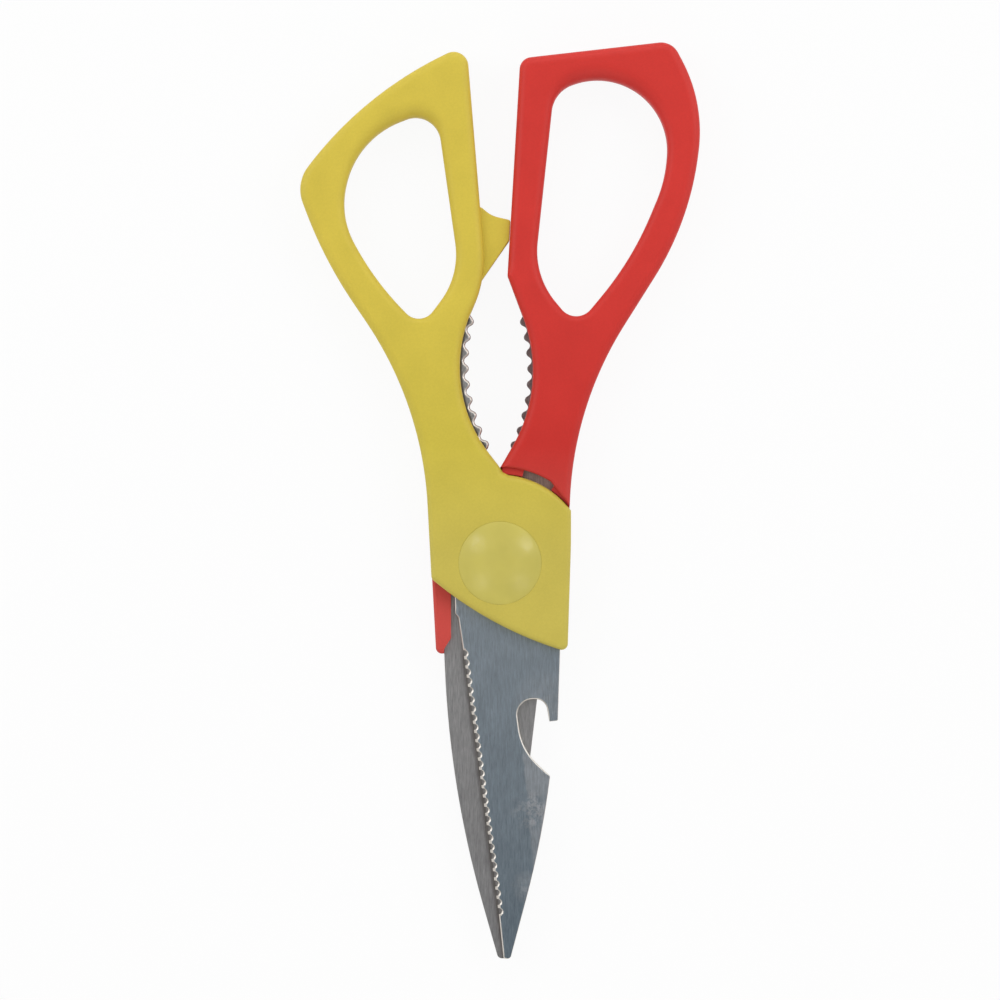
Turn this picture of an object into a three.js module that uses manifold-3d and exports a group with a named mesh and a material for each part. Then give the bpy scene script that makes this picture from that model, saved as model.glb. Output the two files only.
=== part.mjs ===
// Kitchen scissors: two steel blades on a screw pivot, each held in a moulded handle with a finger loop.
// Lengths are millimetres and angles are degrees. The scissors lie closed on the plane z = 0 with their
// tips towards -Y, and the origin is where the pivot axis meets that plane.
// Each half is drawn with its outer face up and its loop on the left. The front half is placed as drawn,
// and the rear half is turned over about Y.
import * as THREE from "three";
import { mergeVertices } from "three/addons/utils/BufferGeometryUtils.js";
import Module from "manifold-3d";

const wasm = await Module();
wasm.setup();

// Blades
const BLADE_THICKNESS = 1.8;
const BLADE_GAP = 0.1;
const BLADE_REACH = 87.1;
const FRONT_SPINE = 13.8;
const REAR_SPINE = 13.3;
const SPINE_TOP = 3;
const SPINE_TOP_RADIUS = 3;
const TIP_RADIUS = 0.8;
const FRONT_TIP = [0.8, 2.3];
const REAR_TIP = [-1.4, 0.4];
const REAR_EDGE_HEEL = -10;

// Scalloped edge of the front blade
const SCALLOP_RADIUS = 0.65;
const SCALLOP_INSET_SHARE = 0.46;
const SCALLOP_LAND = 0.9;
const PLAIN_TIP_EDGE = 9.2;
const EDGE_HEEL = [-7.9, -18.6];
const EDGE_STEP = [[-9.2, -12, 0.3], [-9.85, -11.1, 0.3]];

// Bottle opener: corners of the notch in the front blade's spine, from the claw up to the end of the bar
const OPENER_NOTCH = [
  [11.05, -46.9, 0.3],
  [4.84, -41.1, 13],
  [3.3, -29.9, 3.4],
  [10, -30, 2.6],
  [10.85, -34.9, 0.2],
  [12.6, -34.7, 0.4],
];
const FRONT_BULGE = [9.3, 26.4, 200];
const REAR_BULGE = [11, 37.3, 224];

// Nutcracker jaws on the tangs
const JAW_TEETH = 9;
const JAW_PITCH = 3.4;
const JAW_TOOTH_DEPTH = 1;
const JAW_RADIUS = 37;
const FRONT_JAW = { deepest: [-6.9, 43.9], middleAngle: 187 };
const REAR_JAW = { deepest: [-6, 42.2], middleAngle: 184.4 };

// Tangs, from the boss up into the arms
const NECK_INNER_X = -5;
const NECK_INNER_DROP = 1.1;
const NECK_INNER_RADIUS = 2;
const NECK_INNER_ANGLE = 100;
const TANG_HEEL_SETBACK = 1.8;
const TANG_HEEL_DROP = 2.2;
const TANG_HEEL_RADIUS = 1;
const TANG_TOP_SETBACK = 1.9;
const TANG_TOP_RISE = 2.9;
const TANG_WIDTH = 9;
const TANG_LOW_SHOULDER = 31;
const TANG_HIGH_SHOULDER = 46;
const TANG_TOP_RADIUS = 1.5;
const TANG_SHOULDER_RADIUS = 8;

// Boss round the pivot, with a wrap whose wall is measured from the spine at the pivot and at its foot
const YELLOW_WRAP = { wall: 1.85, footWall: 1.1 };
const RED_WRAP = { wall: 1.85, footWall: 0.75 };
const PLATE_ARC_MARGIN = 3.95;
const PLATE_ARC_SETBACK = 2;
const ARM_CLEARANCE = 1.4;
const STEP_SHIFT = 2.4;
const STEP_SHIFT_ANGLE = 80;
const SHELF_OVERLAP = 0.7;
const CROTCH_GAP = 0.8;
const CROTCH_RISE = 0.4;
const WRAP_INNER = 10.8;
const WRAP_CLEARANCE = 0.5;
const WRAP_TAPER = [[WRAP_INNER, -16.1], [12.3, -18.7]];
const STOP_ANGLE = 126;
const OPEN_ANGLE = 65;
const STOP_MARGIN = 2;

// Pivot, from the blade out to the handle's face
const SHANK_RADIUS = 2.9;
const BORE_CLEARANCE = 0.1;
const STACK_GAP = 0.05;
const HEAD_OVERHANG = 1.7;
const HEAD_HEIGHT = 1.2;
const HEAD_CLEARANCE = 0.2;
const WASHER_OVERHANG = 0.3;
const WASHER_THICKNESS = 0.4;
const WASHER_CONE = 0.12;
const SLOT_WIDTH = 1.2;
const SLOT_SHARE = 0.58;
const CAP_FLANGE = 3.1;
const CAP_THICKNESS = 1.25;
const CAP_DOME = 0.9;
const CAP_CLEARANCE = 0.2;
const SPIGOT_WALL = 0.8;
const SPIGOT_CLEARANCE = 0.3;
const SPIGOT_FLOOR_GAP = 0.5;

// Fits between a moulding and the steel in it, and between one half's wrap and the other half's plate
const SEAT_GAP = 0.25;
const LAYER_CLEARANCE = 0.4;

// Handles: corners of the outlines as [x, y, fillet radius], anticlockwise. The loops reach out sideways by
// LOOP_REACH, and each hole's widest corner is a wall's width inside that.
const LOOP_REACH = 45.05;
const YELLOW_WALL = 9.45;
const RED_WALL = 8.65;
const RED_SHOULDER_SETBACK = 3.2;
const EDGE_RADIUS = 1.2;
const CORNER_MARGIN = 0.2;
const CORNER_RADIUS = EDGE_RADIUS + CORNER_MARGIN;
const YELLOW_BOSS = [
  [-15.1, -3.5, CORNER_RADIUS],
  [-2, -14, 81],
  [FRONT_SPINE + YELLOW_WRAP.footWall, -19.2, CORNER_RADIUS],
  [FRONT_SPINE + YELLOW_WRAP.wall, 4.3, 100],
];
const YELLOW_LOOP = [
  [-14.8, 40.3, 33],
  [-2.95, 61.6, 12],
  [-7.3, 114.2, 4.1],
  [-30.05, 103.2, 104],
  [-LOOP_REACH, 83.5, 10.5],
  [-38.7, 66.6, 96],
  [-17.15, 34.8, 79],
];
const YELLOW_HOLE = [
  [-14.2, 100.6, 5.6],
  [-31.9, 92.8, 18.9],
  [YELLOW_WALL - LOOP_REACH, 74.2, 20.5],
  [-18.5, 51.3, 4.6],
  [-8.6, 61.9, 18.9],
];
const RED_BOSS = [
  [-14.6, -3.5, CORNER_RADIUS],
  [-2, -14, 81],
  [REAR_SPINE + RED_WRAP.footWall, -20.4, CORNER_RADIUS],
  [REAR_SPINE + RED_WRAP.wall, -0.5, 100],
];
const RED_STOP_EDGE = [[-1.6, 63.2, CORNER_RADIUS], [-4.4, 111, 2.8]];
const RED_LOOP = [
  [-10.5, 39.3, 33],
  ...RED_STOP_EDGE,
  [-37.8, 114.8, 4.2],
  [-LOOP_REACH, 101.3, 33.5],
  [RED_SHOULDER_SETBACK - LOOP_REACH, 75.2, 66],
  [-16.45, 34.9, 78],
];
const RED_HOLE = [
  [-11.9, 104.3, 7],
  [-37.3, 111, 15.2],
  [RED_WALL - LOOP_REACH, 80.3, 35.5],
  [-17.3, 50.3, 5.2],
  [-7.6, 63.9, 14.8],
];

// Stop nub: a thinner web on the yellow loop that meets the red handle when the scissors are closed
const NUB_INSET = 2;
const NUB_FOOT = 70.9;
const NUB_FACE = 4.5;
const NUB_END_RADIUS = 0.8;
const NUB_SHOULDER = { x: -1.9, rise: 1, radius: 6 };
const NUB_CORNER = { x: -4.3, rise: 3, radius: 2 };
const NUB_ROOT = { x: -8, drop: 14.5 };
const STOP_GAP = 0.3;

// Facets of the curves
const CHORD_TOLERANCE = 0.06;
const WIDEST_STEP = THREE.MathUtils.degToRad(15);
const EDGE_STEPS = 3;
const TURN_STEPS = 48;
const DOME_STEPS = 6;
const SCALLOP_STEPS = 6;
const TOOTH_STEPS = 6;
const FILLET_SHARE = 0.98;
const CUT_MARGIN = 1;

// Levels above the resting plane, for a half drawn with its outer face up
const PLATE_THICKNESS = 2 * STACK_GAP + WASHER_THICKNESS + HEAD_HEIGHT + HEAD_CLEARANCE + CAP_THICKNESS;
const HANDLE_THICKNESS = 2 * (PLATE_THICKNESS + BLADE_THICKNESS) + BLADE_GAP;
const BLADE_BOTTOM = (HANDLE_THICKNESS + BLADE_GAP) / 2;
const BLADE_TOP = BLADE_BOTTOM + BLADE_THICKNESS;
const PLATE_BOTTOM = BLADE_TOP + SEAT_GAP;
const WRAP_BOTTOM = HANDLE_THICKNESS - PLATE_BOTTOM + LAYER_CLEARANCE;

// Radii round the pivot, and the depth of the driver slots
const BOSS_SIDE = Math.max(FRONT_SPINE + YELLOW_WRAP.wall, REAR_SPINE + RED_WRAP.wall);
const PLATE_ARC_RADIUS = BOSS_SIDE + PLATE_ARC_MARGIN;
const ARM_FOOT = PLATE_ARC_RADIUS + ARM_CLEARANCE;
const STEP_RADIUS = ARM_FOOT + SEAT_GAP - STEP_SHIFT;
const SHELF_RADIUS = PLATE_ARC_RADIUS - SHELF_OVERLAP;
const BLADE_BOSS_RADIUS = WRAP_INNER - WRAP_CLEARANCE;
const BORE_RADIUS = SHANK_RADIUS + BORE_CLEARANCE;
const HEAD_RADIUS = SHANK_RADIUS + HEAD_OVERHANG;
const WASHER_RADIUS = HEAD_RADIUS + WASHER_OVERHANG;
const SPIGOT_INNER = WASHER_RADIUS + SPIGOT_CLEARANCE;
const SPIGOT_OUTER = SPIGOT_INNER + SPIGOT_WALL;
const WELL_RADIUS = SPIGOT_OUTER + CAP_CLEARANCE;
const CAP_RADIUS = SPIGOT_OUTER + CAP_FLANGE;
const SLOT_DEPTH = SLOT_SHARE * HEAD_HEIGHT;

const YELLOW_PLASTIC = { color: 0xd3be4c, roughness: 0.45, metalness: 0 };
const RED_PLASTIC = { color: 0xca3b34, roughness: 0.45, metalness: 0 };
const YELLOW_CAP = { color: 0xc7bc62, roughness: 0.15, metalness: 0 };
const RED_CAP = { color: 0xc23a33, roughness: 0.2, metalness: 0 };
const BLADE_STEEL = { color: 0x757e85, roughness: 0.35, metalness: 1 };
const SCREW_STEEL = { color: 0x8c8c8c, roughness: 0.3, metalness: 1 };

// Number of chords that keep an arc within the tolerance
function arcSteps(radius, sweep) {
  const step = Math.min(WIDEST_STEP, 2 * Math.acos(Math.max(0, 1 - CHORD_TOLERANCE / radius)));
  return Math.ceil(Math.abs(sweep) / step);
}

// Point on a circle, as an outline corner with no fillet
function polar(radius, angle, [x, y] = [0, 0]) {
  const turn = THREE.MathUtils.degToRad(angle);
  return [x + radius * Math.cos(turn), y + radius * Math.sin(turn), 0];
}

// Corners along an arc about a centre, which is the pivot unless it is given
function arcCorners(radius, fromAngle, toAngle, centre) {
  const sweep = toAngle - fromAngle;
  const steps = arcSteps(radius, THREE.MathUtils.degToRad(sweep));
  return Array.from({ length: steps + 1 }, (_, k) => polar(radius, fromAngle + (sweep * k) / steps, centre));
}

// Rounds each corner [x, y, radius] of a closed outline. Fillets that would meet on a wall share it.
function roundedOutline(corners) {
  const points = corners.map(([x, y]) => new THREE.Vector2(x, y));
  const last = points.length - 1;
  const before = (i) => (i === 0 ? last : i - 1);
  const after = (i) => (i === last ? 0 : i + 1);
  const heading = (from, to) => points[to].clone().sub(points[from]).normalize();
  const turns = points.map((_, i) => {
    const arriving = heading(before(i), i);
    const leaving = heading(i, after(i));
    return Math.atan2(arriving.cross(leaving), arriving.dot(leaving));
  });
  const trims = corners.map(([, , radius = 0], i) => radius * Math.tan(Math.abs(turns[i]) / 2));
  const outline = [];
  points.forEach((point, i) => {
    if (trims[i] === 0) {
      outline.push(point);
      return;
    }
    const walls = [before(i), after(i)].map((j) => point.distanceTo(points[j]) / (trims[i] + trims[j]));
    const share = Math.min(1, FILLET_SHARE * Math.min(...walls));
    const arriving = heading(before(i), i);
    const entry = point.clone().addScaledVector(arriving, -trims[i] * share);
    const inward = new THREE.Vector2(-arriving.y, arriving.x).multiplyScalar(Math.sign(turns[i]));
    const radius = corners[i][2] * share;
    const centre = entry.clone().addScaledVector(inward, radius);
    const steps = arcSteps(radius, turns[i]);
    for (let k = 0; k <= steps; k += 1) {
      outline.push(entry.clone().rotateAround(centre, (turns[i] * k) / steps));
    }
  });
  return outline;
}

function circleOutline(radius) {
  return new THREE.Path().absarc(0, 0, radius, 0, 2 * Math.PI).getPoints(TURN_STEPS / 2);
}

// Closed solid from a three.js geometry
function solid(geometry) {
  geometry.deleteAttribute("normal");
  geometry.deleteAttribute("uv");
  const merged = mergeVertices(geometry);
  const index = merged.getIndex().array;
  const triangles = [];
  for (let i = 0; i < index.length; i += 3) {
    const [a, b, c] = index.slice(i, i + 3);
    if (a !== b && b !== c && c !== a) {
      triangles.push(a, b, c);
    }
  }
  const vertProperties = new Float32Array(merged.getAttribute("position").array);
  const triVerts = new Uint32Array(triangles);
  return new wasm.Manifold(new wasm.Mesh({ numProp: 3, vertProperties, triVerts }));
}

// Flat slab with an outline and holes, its edges rounded by the edge radius
function slab(outline, bottom, top, { holes = [], edge = 0 } = {}) {
  const shape = new THREE.Shape(outline);
  shape.holes = holes.map((hole) => new THREE.Path(hole));
  const geometry = new THREE.ExtrudeGeometry(shape, {
    depth: top - bottom - 2 * edge,
    bevelEnabled: edge > 0,
    bevelThickness: edge,
    bevelSize: edge,
    bevelOffset: -edge,
    bevelSegments: EDGE_STEPS,
  });
  geometry.translate(0, 0, bottom + edge);
  return solid(geometry);
}

// Pocket for a flat slab, larger than it by the gap on every side
function pocket(outline, bottom, top, gap) {
  const geometry = new THREE.ExtrudeGeometry(new THREE.Shape(outline), {
    depth: top - bottom,
    bevelThickness: gap,
    bevelSize: gap,
    bevelSegments: 1,
  });
  geometry.translate(0, 0, bottom);
  return solid(geometry);
}

// Solid turned about Z from a profile of [radius, z], outer side upwards
function turned(profile) {
  const points = profile.map(([radius, z]) => new THREE.Vector2(radius, z));
  const geometry = new THREE.LatheGeometry(points, TURN_STEPS);
  geometry.rotateX(Math.PI / 2);
  return solid(geometry);
}

function disc(radius, bottom, top) {
  return turned([[0, bottom], [radius, bottom], [radius, top], [0, top]]);
}

function ring(inner, outer, bottom, top) {
  return turned([[inner, bottom], [outer, bottom], [outer, top], [inner, top], [inner, bottom]]);
}

function part(name, shape, material) {
  const { vertProperties, triVerts } = shape.getMesh();
  const geometry = new THREE.BufferGeometry();
  geometry.setAttribute("position", new THREE.BufferAttribute(vertProperties, 3));
  geometry.setIndex(new THREE.BufferAttribute(triVerts, 1));
  geometry.computeVertexNormals();
  const mesh = new THREE.Mesh(geometry, new THREE.MeshStandardMaterial(material));
  mesh.name = name;
  return mesh;
}

// Teeth along a jaw's arc, from the lowest up, with their tips on the jaw radius
function jawCorners({ deepest: [x, y], middleAngle }) {
  const centre = [x + JAW_RADIUS, y];
  const gaps = JAW_TEETH - 1;
  const span = THREE.MathUtils.radToDeg((gaps * JAW_PITCH) / JAW_RADIUS);
  const steps = gaps * TOOTH_STEPS;
  return Array.from({ length: steps + 1 }, (_, k) => {
    const valley = (1 - Math.cos((2 * Math.PI * k) / TOOTH_STEPS)) / 2;
    const angle = middleAngle + span * (1 / 2 - k / steps);
    return polar(JAW_RADIUS + JAW_TOOTH_DEPTH * valley, angle, centre);
  });
}

// Boss and tang of a blade, from the top of its spine round to the heel of its cutting edge
function tangCorners(spine, jaw) {
  const teeth = jawCorners(jaw);
  const [lowX, lowY] = teeth.at(0);
  const [highX, highY] = teeth.at(-1);
  const tangTop = highY + TANG_TOP_RISE;
  const tangOuter = jaw.deepest[0] - TANG_WIDTH;
  const [neckX, neckY] = polar(ARM_FOOT, STOP_ANGLE);
  return [
    [spine, SPINE_TOP, SPINE_TOP_RADIUS],
    ...arcCorners(BLADE_BOSS_RADIUS, STOP_ANGLE - NECK_INNER_ANGLE, NECK_INNER_ANGLE),
    [NECK_INNER_X, ARM_FOOT - NECK_INNER_DROP, NECK_INNER_RADIUS],
    [lowX - TANG_HEEL_SETBACK, lowY - TANG_HEEL_DROP, TANG_HEEL_RADIUS],
    ...teeth,
    [highX - TANG_TOP_SETBACK, tangTop, TANG_TOP_RADIUS],
    [(highX + tangOuter) / 2, tangTop, TANG_TOP_RADIUS],
    [tangOuter, TANG_HIGH_SHOULDER, TANG_SHOULDER_RADIUS],
    [tangOuter, TANG_LOW_SHOULDER, TANG_SHOULDER_RADIUS],
    [neckX, neckY, TANG_SHOULDER_RADIUS],
    ...arcCorners(BLADE_BOSS_RADIUS, STOP_ANGLE, 180),
  ];
}

// Scallops cut into a straight edge that runs down to its end
function scallopCorners([startX, startY], [endX, endY]) {
  const start = new THREE.Vector2(startX, startY);
  const run = new THREE.Vector2(endX, endY).sub(start);
  const heading = run.clone().normalize();
  const inward = new THREE.Vector2(-heading.y, heading.x);
  const inset = SCALLOP_INSET_SHARE * SCALLOP_RADIUS;
  const mouth = Math.acos(SCALLOP_INSET_SHARE);
  const arc = 2 * (Math.PI - mouth);
  const pitch = 2 * SCALLOP_RADIUS * Math.sin(mouth) + SCALLOP_LAND;
  const count = Math.floor(run.length() / pitch);
  const corners = [];
  for (let i = 0; i < count; i += 1) {
    const along = (i + 1 / 2) * pitch;
    const centre = start.clone().addScaledVector(heading, along).addScaledVector(inward, inset);
    for (let k = 0; k <= SCALLOP_STEPS; k += 1) {
      const turn = -mouth - (arc * k) / SCALLOP_STEPS;
      const spoke = inward.clone().multiplyScalar(-SCALLOP_RADIUS);
      const point = centre.clone().add(spoke).rotateAround(centre, turn);
      corners.push([point.x, point.y, 0]);
    }
  }
  return corners;
}

function frontBladeOutline() {
  const [bulgeX, bulgeFromTip, bulgeRadius] = FRONT_BULGE;
  const [tipEdge, tipSpine] = FRONT_TIP;
  const tip = new THREE.Vector2(tipEdge, -BLADE_REACH);
  const heel = new THREE.Vector2(...EDGE_HEEL);
  const share = PLAIN_TIP_EDGE / tip.distanceTo(heel);
  const scallopEnd = tip.clone().lerp(heel, share);
  return roundedOutline([
    [tipSpine, -BLADE_REACH, TIP_RADIUS],
    [bulgeX, bulgeFromTip - BLADE_REACH, bulgeRadius],
    ...OPENER_NOTCH,
    ...tangCorners(FRONT_SPINE, FRONT_JAW),
    ...EDGE_STEP.toReversed(),
    ...scallopCorners(EDGE_HEEL, scallopEnd.toArray()),
    [tipEdge, -BLADE_REACH, TIP_RADIUS],
  ]);
}

function rearBladeOutline() {
  const [bulgeX, bulgeFromTip, bulgeRadius] = REAR_BULGE;
  const [tipEdge, tipSpine] = REAR_TIP;
  return roundedOutline([
    [tipSpine, -BLADE_REACH, TIP_RADIUS],
    [bulgeX, bulgeFromTip - BLADE_REACH, bulgeRadius],
    ...tangCorners(REAR_SPINE, REAR_JAW),
    [-BLADE_BOSS_RADIUS, REAR_EDGE_HEEL, 0],
    [tipEdge, -BLADE_REACH, TIP_RADIUS],
  ]);
}

function blade(outline) {
  return slab(outline, BLADE_BOTTOM, BLADE_TOP, { holes: [circleOutline(BORE_RADIUS)] });
}

// Outline of a handle: boss, the arc that faces the other arm, the crotch, then the arm and loop
function handleOutline(boss, loop) {
  const [sideX] = boss.at(-1);
  const arcAngle = (x) => THREE.MathUtils.radToDeg(Math.acos(x / PLATE_ARC_RADIUS));
  const plateArc = arcCorners(PLATE_ARC_RADIUS, arcAngle(sideX), arcAngle(PLATE_ARC_SETBACK));
  const crotch = [-CROTCH_GAP / 2, ARM_FOOT + CROTCH_RISE, EDGE_RADIUS];
  return roundedOutline([...boss, ...plateArc, crotch, ...loop]);
}

// Room round the pivot for the other half: everything within an arc and below the arc's centre
function bossCut(radius, [x, y], bottom, top) {
  const reach = BLADE_REACH;
  const outline = [
    [-reach, -reach],
    [reach, -reach],
    [reach, y],
    ...arcCorners(radius, 0, 180, [x, y]),
    [-reach, y],
  ];
  return slab(roundedOutline(outline), bottom, top);
}

// Column of a spine wrap: outside its inner side, below the end that the other tang stops against
function wrapColumn(bottom, top) {
  const endAngle = 180 - STOP_ANGLE - OPEN_ANGLE - STOP_MARGIN;
  const slope = Math.tan(THREE.MathUtils.degToRad(endAngle));
  const reach = BLADE_REACH;
  const [taperTop, taperEnd] = WRAP_TAPER;
  const outline = [
    [WRAP_INNER, WRAP_INNER * slope],
    taperTop,
    taperEnd,
    [taperEnd[0], -reach],
    [reach, -reach],
    [reach, reach * slope],
  ];
  return slab(roundedOutline(outline), bottom, top);
}

function handle(outline, hole, bladeOutline) {
  const below = -CUT_MARGIN;
  const above = HANDLE_THICKNESS + CUT_MARGIN;
  const seat = HANDLE_THICKNESS - CAP_THICKNESS - STACK_GAP;
  const step = bossCut(STEP_RADIUS, polar(STEP_SHIFT, STEP_SHIFT_ANGLE), below, BLADE_BOTTOM);
  const shelf = bossCut(SHELF_RADIUS, [0, 0], BLADE_BOTTOM, PLATE_BOTTOM);
  const room = step.add(shelf).subtract(wrapColumn(WRAP_BOTTOM, above));
  return slab(outline, 0, HANDLE_THICKNESS, { holes: [roundedOutline(hole)], edge: EDGE_RADIUS })
    .subtract(room)
    .subtract(pocket(bladeOutline, BLADE_BOTTOM, BLADE_TOP, SEAT_GAP))
    .subtract(disc(WELL_RADIUS, BLADE_BOTTOM, above))
    .subtract(disc(CAP_RADIUS + CAP_CLEARANCE, seat, above));
}

// The red handle's inner edge, which the nub meets, in the front half's frame
function stopEdgeX(y) {
  const [[lowX, lowY], [highX, highY]] = RED_STOP_EDGE;
  return -THREE.MathUtils.mapLinear(y, lowY, highY, lowX, highX);
}

function stopNub() {
  const head = NUB_FOOT + NUB_FACE;
  const endX = (y) => stopEdgeX(y) - STOP_GAP;
  const outline = roundedOutline([
    [NUB_ROOT.x, head + NUB_CORNER.rise, 0],
    [NUB_ROOT.x, NUB_FOOT - NUB_ROOT.drop, 0],
    [endX(NUB_FOOT), NUB_FOOT, NUB_END_RADIUS],
    [endX(head), head, NUB_END_RADIUS],
    [NUB_SHOULDER.x, head + NUB_SHOULDER.rise, NUB_SHOULDER.radius],
    [NUB_CORNER.x, head + NUB_CORNER.rise, NUB_CORNER.radius],
  ]);
  return slab(outline, NUB_INSET, HANDLE_THICKNESS - NUB_INSET);
}

// Cap that drops into a boss, with a spigot ring into the well and a domed or flat face
function cap(dome) {
  const under = HANDLE_THICKNESS - CAP_THICKNESS;
  const spigotEnd = BLADE_TOP + SPIGOT_FLOOR_GAP;
  const faceSteps = dome > 0 ? DOME_STEPS : 1;
  const face = Array.from({ length: faceSteps }, (_, k) => {
    const share = 1 - (k + 1) / faceSteps;
    return [CAP_RADIUS * share, HANDLE_THICKNESS + dome * (1 - share ** 2)];
  });
  return turned([
    [0, under],
    [SPIGOT_INNER, under],
    [SPIGOT_INNER, spigotEnd],
    [SPIGOT_OUTER, spigotEnd],
    [SPIGOT_OUTER, under],
    [CAP_RADIUS, under],
    [CAP_RADIUS, HANDLE_THICKNESS],
    ...face,
  ]);
}

// Slot across a screw head or nut, for the driver
function driverSlot(bottom, top) {
  const geometry = new THREE.BoxGeometry(2 * HEAD_RADIUS + CUT_MARGIN, SLOT_WIDTH, top - bottom);
  geometry.translate(0, 0, (bottom + top) / 2);
  return solid(geometry);
}

const washerSeat = BLADE_TOP + STACK_GAP;
const headSeat = washerSeat + WASHER_THICKNESS + STACK_GAP;
const headTop = headSeat + HEAD_HEIGHT;

function pivotScrew() {
  const shankEnd = HANDLE_THICKNESS - headTop + SLOT_DEPTH;
  const body = turned([
    [0, shankEnd],
    [SHANK_RADIUS, shankEnd],
    [SHANK_RADIUS, headSeat],
    [HEAD_RADIUS, headSeat],
    [HEAD_RADIUS, headTop],
    [0, headTop],
  ]);
  return body.subtract(driverSlot(headTop - SLOT_DEPTH, headTop + CUT_MARGIN));
}

function pivotNut() {
  const slot = driverSlot(headTop - SLOT_DEPTH, headTop + CUT_MARGIN);
  return ring(BORE_RADIUS, HEAD_RADIUS, headSeat, headTop).subtract(slot);
}

function springWasher() {
  const top = washerSeat + WASHER_THICKNESS;
  return turned([
    [BORE_RADIUS, washerSeat],
    [WASHER_RADIUS, washerSeat + WASHER_CONE],
    [WASHER_RADIUS, top],
    [BORE_RADIUS, top - WASHER_CONE],
    [BORE_RADIUS, washerSeat],
  ]);
}

function flatWasher() {
  return ring(BORE_RADIUS, WASHER_RADIUS, washerSeat, washerSeat + WASHER_THICKNESS);
}

const frontOutline = frontBladeOutline();
const rearOutline = rearBladeOutline();
const yellowLoop = handle(handleOutline(YELLOW_BOSS, YELLOW_LOOP), YELLOW_HOLE, frontOutline);
const yellowHandle = yellowLoop.add(stopNub());
const redHandle = handle(handleOutline(RED_BOSS, RED_LOOP), RED_HOLE, rearOutline);

const frontHalf = new THREE.Group();
frontHalf.add(part("yellow_handle", yellowHandle, YELLOW_PLASTIC));
frontHalf.add(part("front_blade", blade(frontOutline), BLADE_STEEL));
frontHalf.add(part("front_cap", cap(CAP_DOME), YELLOW_CAP));

const rearHalf = new THREE.Group();
rearHalf.rotation.y = Math.PI;
rearHalf.position.z = HANDLE_THICKNESS;
rearHalf.add(part("red_handle", redHandle, RED_PLASTIC));
rearHalf.add(part("rear_blade", blade(rearOutline), BLADE_STEEL));
rearHalf.add(part("rear_cap", cap(0), RED_CAP));
rearHalf.add(part("pivot_nut", pivotNut(), SCREW_STEEL));
rearHalf.add(part("flat_washer", flatWasher(), SCREW_STEEL));

// The screw goes in from the front, over its washer, and turns with the nut and the rear half
const scissors = new THREE.Group();
scissors.add(frontHalf, rearHalf);
scissors.add(part("pivot_screw", pivotScrew(), SCREW_STEEL));
scissors.add(part("spring_washer", springWasher(), SCREW_STEEL));

export default scissors;
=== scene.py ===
"""Kitchen scissors with moulded loops, a scalloped blade, a bottle opener and nutcracker jaws."""

import math

import bmesh
import bpy
import numpy as np
from bpy.props import FloatProperty, FloatVectorProperty, IntProperty, PointerProperty
from mathutils import Matrix, Vector
from mathutils.geometry import tessellate_polygon


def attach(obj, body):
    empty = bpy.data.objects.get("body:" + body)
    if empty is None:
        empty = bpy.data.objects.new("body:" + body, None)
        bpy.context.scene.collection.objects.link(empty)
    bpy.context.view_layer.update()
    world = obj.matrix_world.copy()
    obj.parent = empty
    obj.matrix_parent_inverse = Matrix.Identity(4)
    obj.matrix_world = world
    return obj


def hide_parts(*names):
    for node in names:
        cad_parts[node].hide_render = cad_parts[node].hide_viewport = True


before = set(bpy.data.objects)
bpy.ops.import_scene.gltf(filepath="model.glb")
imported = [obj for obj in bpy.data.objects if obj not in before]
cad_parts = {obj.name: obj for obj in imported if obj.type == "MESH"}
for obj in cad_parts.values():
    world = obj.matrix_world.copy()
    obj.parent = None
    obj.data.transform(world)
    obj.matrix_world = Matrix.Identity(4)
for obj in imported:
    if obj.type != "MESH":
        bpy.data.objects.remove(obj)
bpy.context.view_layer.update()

bl_info = {
    "name": "Kitchen scissors",
    "version": (1, 0, 0),
    "blender": (4, 5, 0),
    "location": "3D View > Sidebar > Scissors",
    "description": "Dresses the kitchen scissors round their solids",
    "category": "Object",
}

MM = 0.001

# Levels and radii of a half drawn with its outer face up and its loop on the left. The rear half is drawn
# the same way and turned over. Lengths here and below are in millimetres.
THICKNESS = 10.0
BLADE_BOTTOM, BLADE_TOP = 5.05, 6.85
PLATE_BOTTOM, WRAP_BOTTOM = 7.1, 3.3
BLADE_REACH = 87.1
PLATE_ARC, ARM_FOOT, SHELF_ARC, BLADE_BOSS = 19.45, 21.0, 18.9, 10.3
PLATE_ARC_SETBACK = 2.0
STEP_ARC, STEP_END = 21.1, 19.85
LEDGE_ARC, LEDGE_TOP = 19.6, 1.2
CAP_RADIUS, CAP_UNDER, CAP_HOLLOW = 9.1, 8.75, 9.15
SPIGOT_INNER, SPIGOT_OUTER, SPIGOT_END = 5.2, 6.0, 7.35
BORE_RADIUS = 3.0
# A reach past everything else, and the bend of an outline where it is straight
FAR = 120.0

# Angles about the pivot in degrees: a tang's stop and neck, where the step draws in, the two ledges, and the
# turn of the bore's outline before it closes
STOP_ANGLE, NECK_ANGLE = 126, 100
STEP_BEND = (122, 141)
LEDGES = ((91.5, 104.5), (125, 140))
BORE_TURN = 350

# Room left round the tang, the spigot, the cap's side and its underside, and inside the outline
TANG_ROOM, SPIGOT_ROOM, CAP_ROOM, SEAT_ROOM, OUTLINE_ROOM = 0.06, 0.2, 0.005, 0.05, 0.04
# How far a tool reaches past the face that it cuts, and how far forms run into one another
PAST = 1.0
WRAP_OVERLAP, LEDGE_OVERLAP, RIM_OVERLAP = 0.02, 0.2, 0.02
# Roundings: the cap and its seat, the nub, the flat side of a blade, the wrap at its foot and its cut-off top
CAP_EDGE, NUB_EDGE, FLAT_EDGE = 0.07, 0.3, 0.04
WRAP_EDGES = (0.7, 0.1)
# Heights between which a handle's edge widens from that of the boss to that of the loop
BOSS_TO_LOOP = (12, 26)

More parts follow.
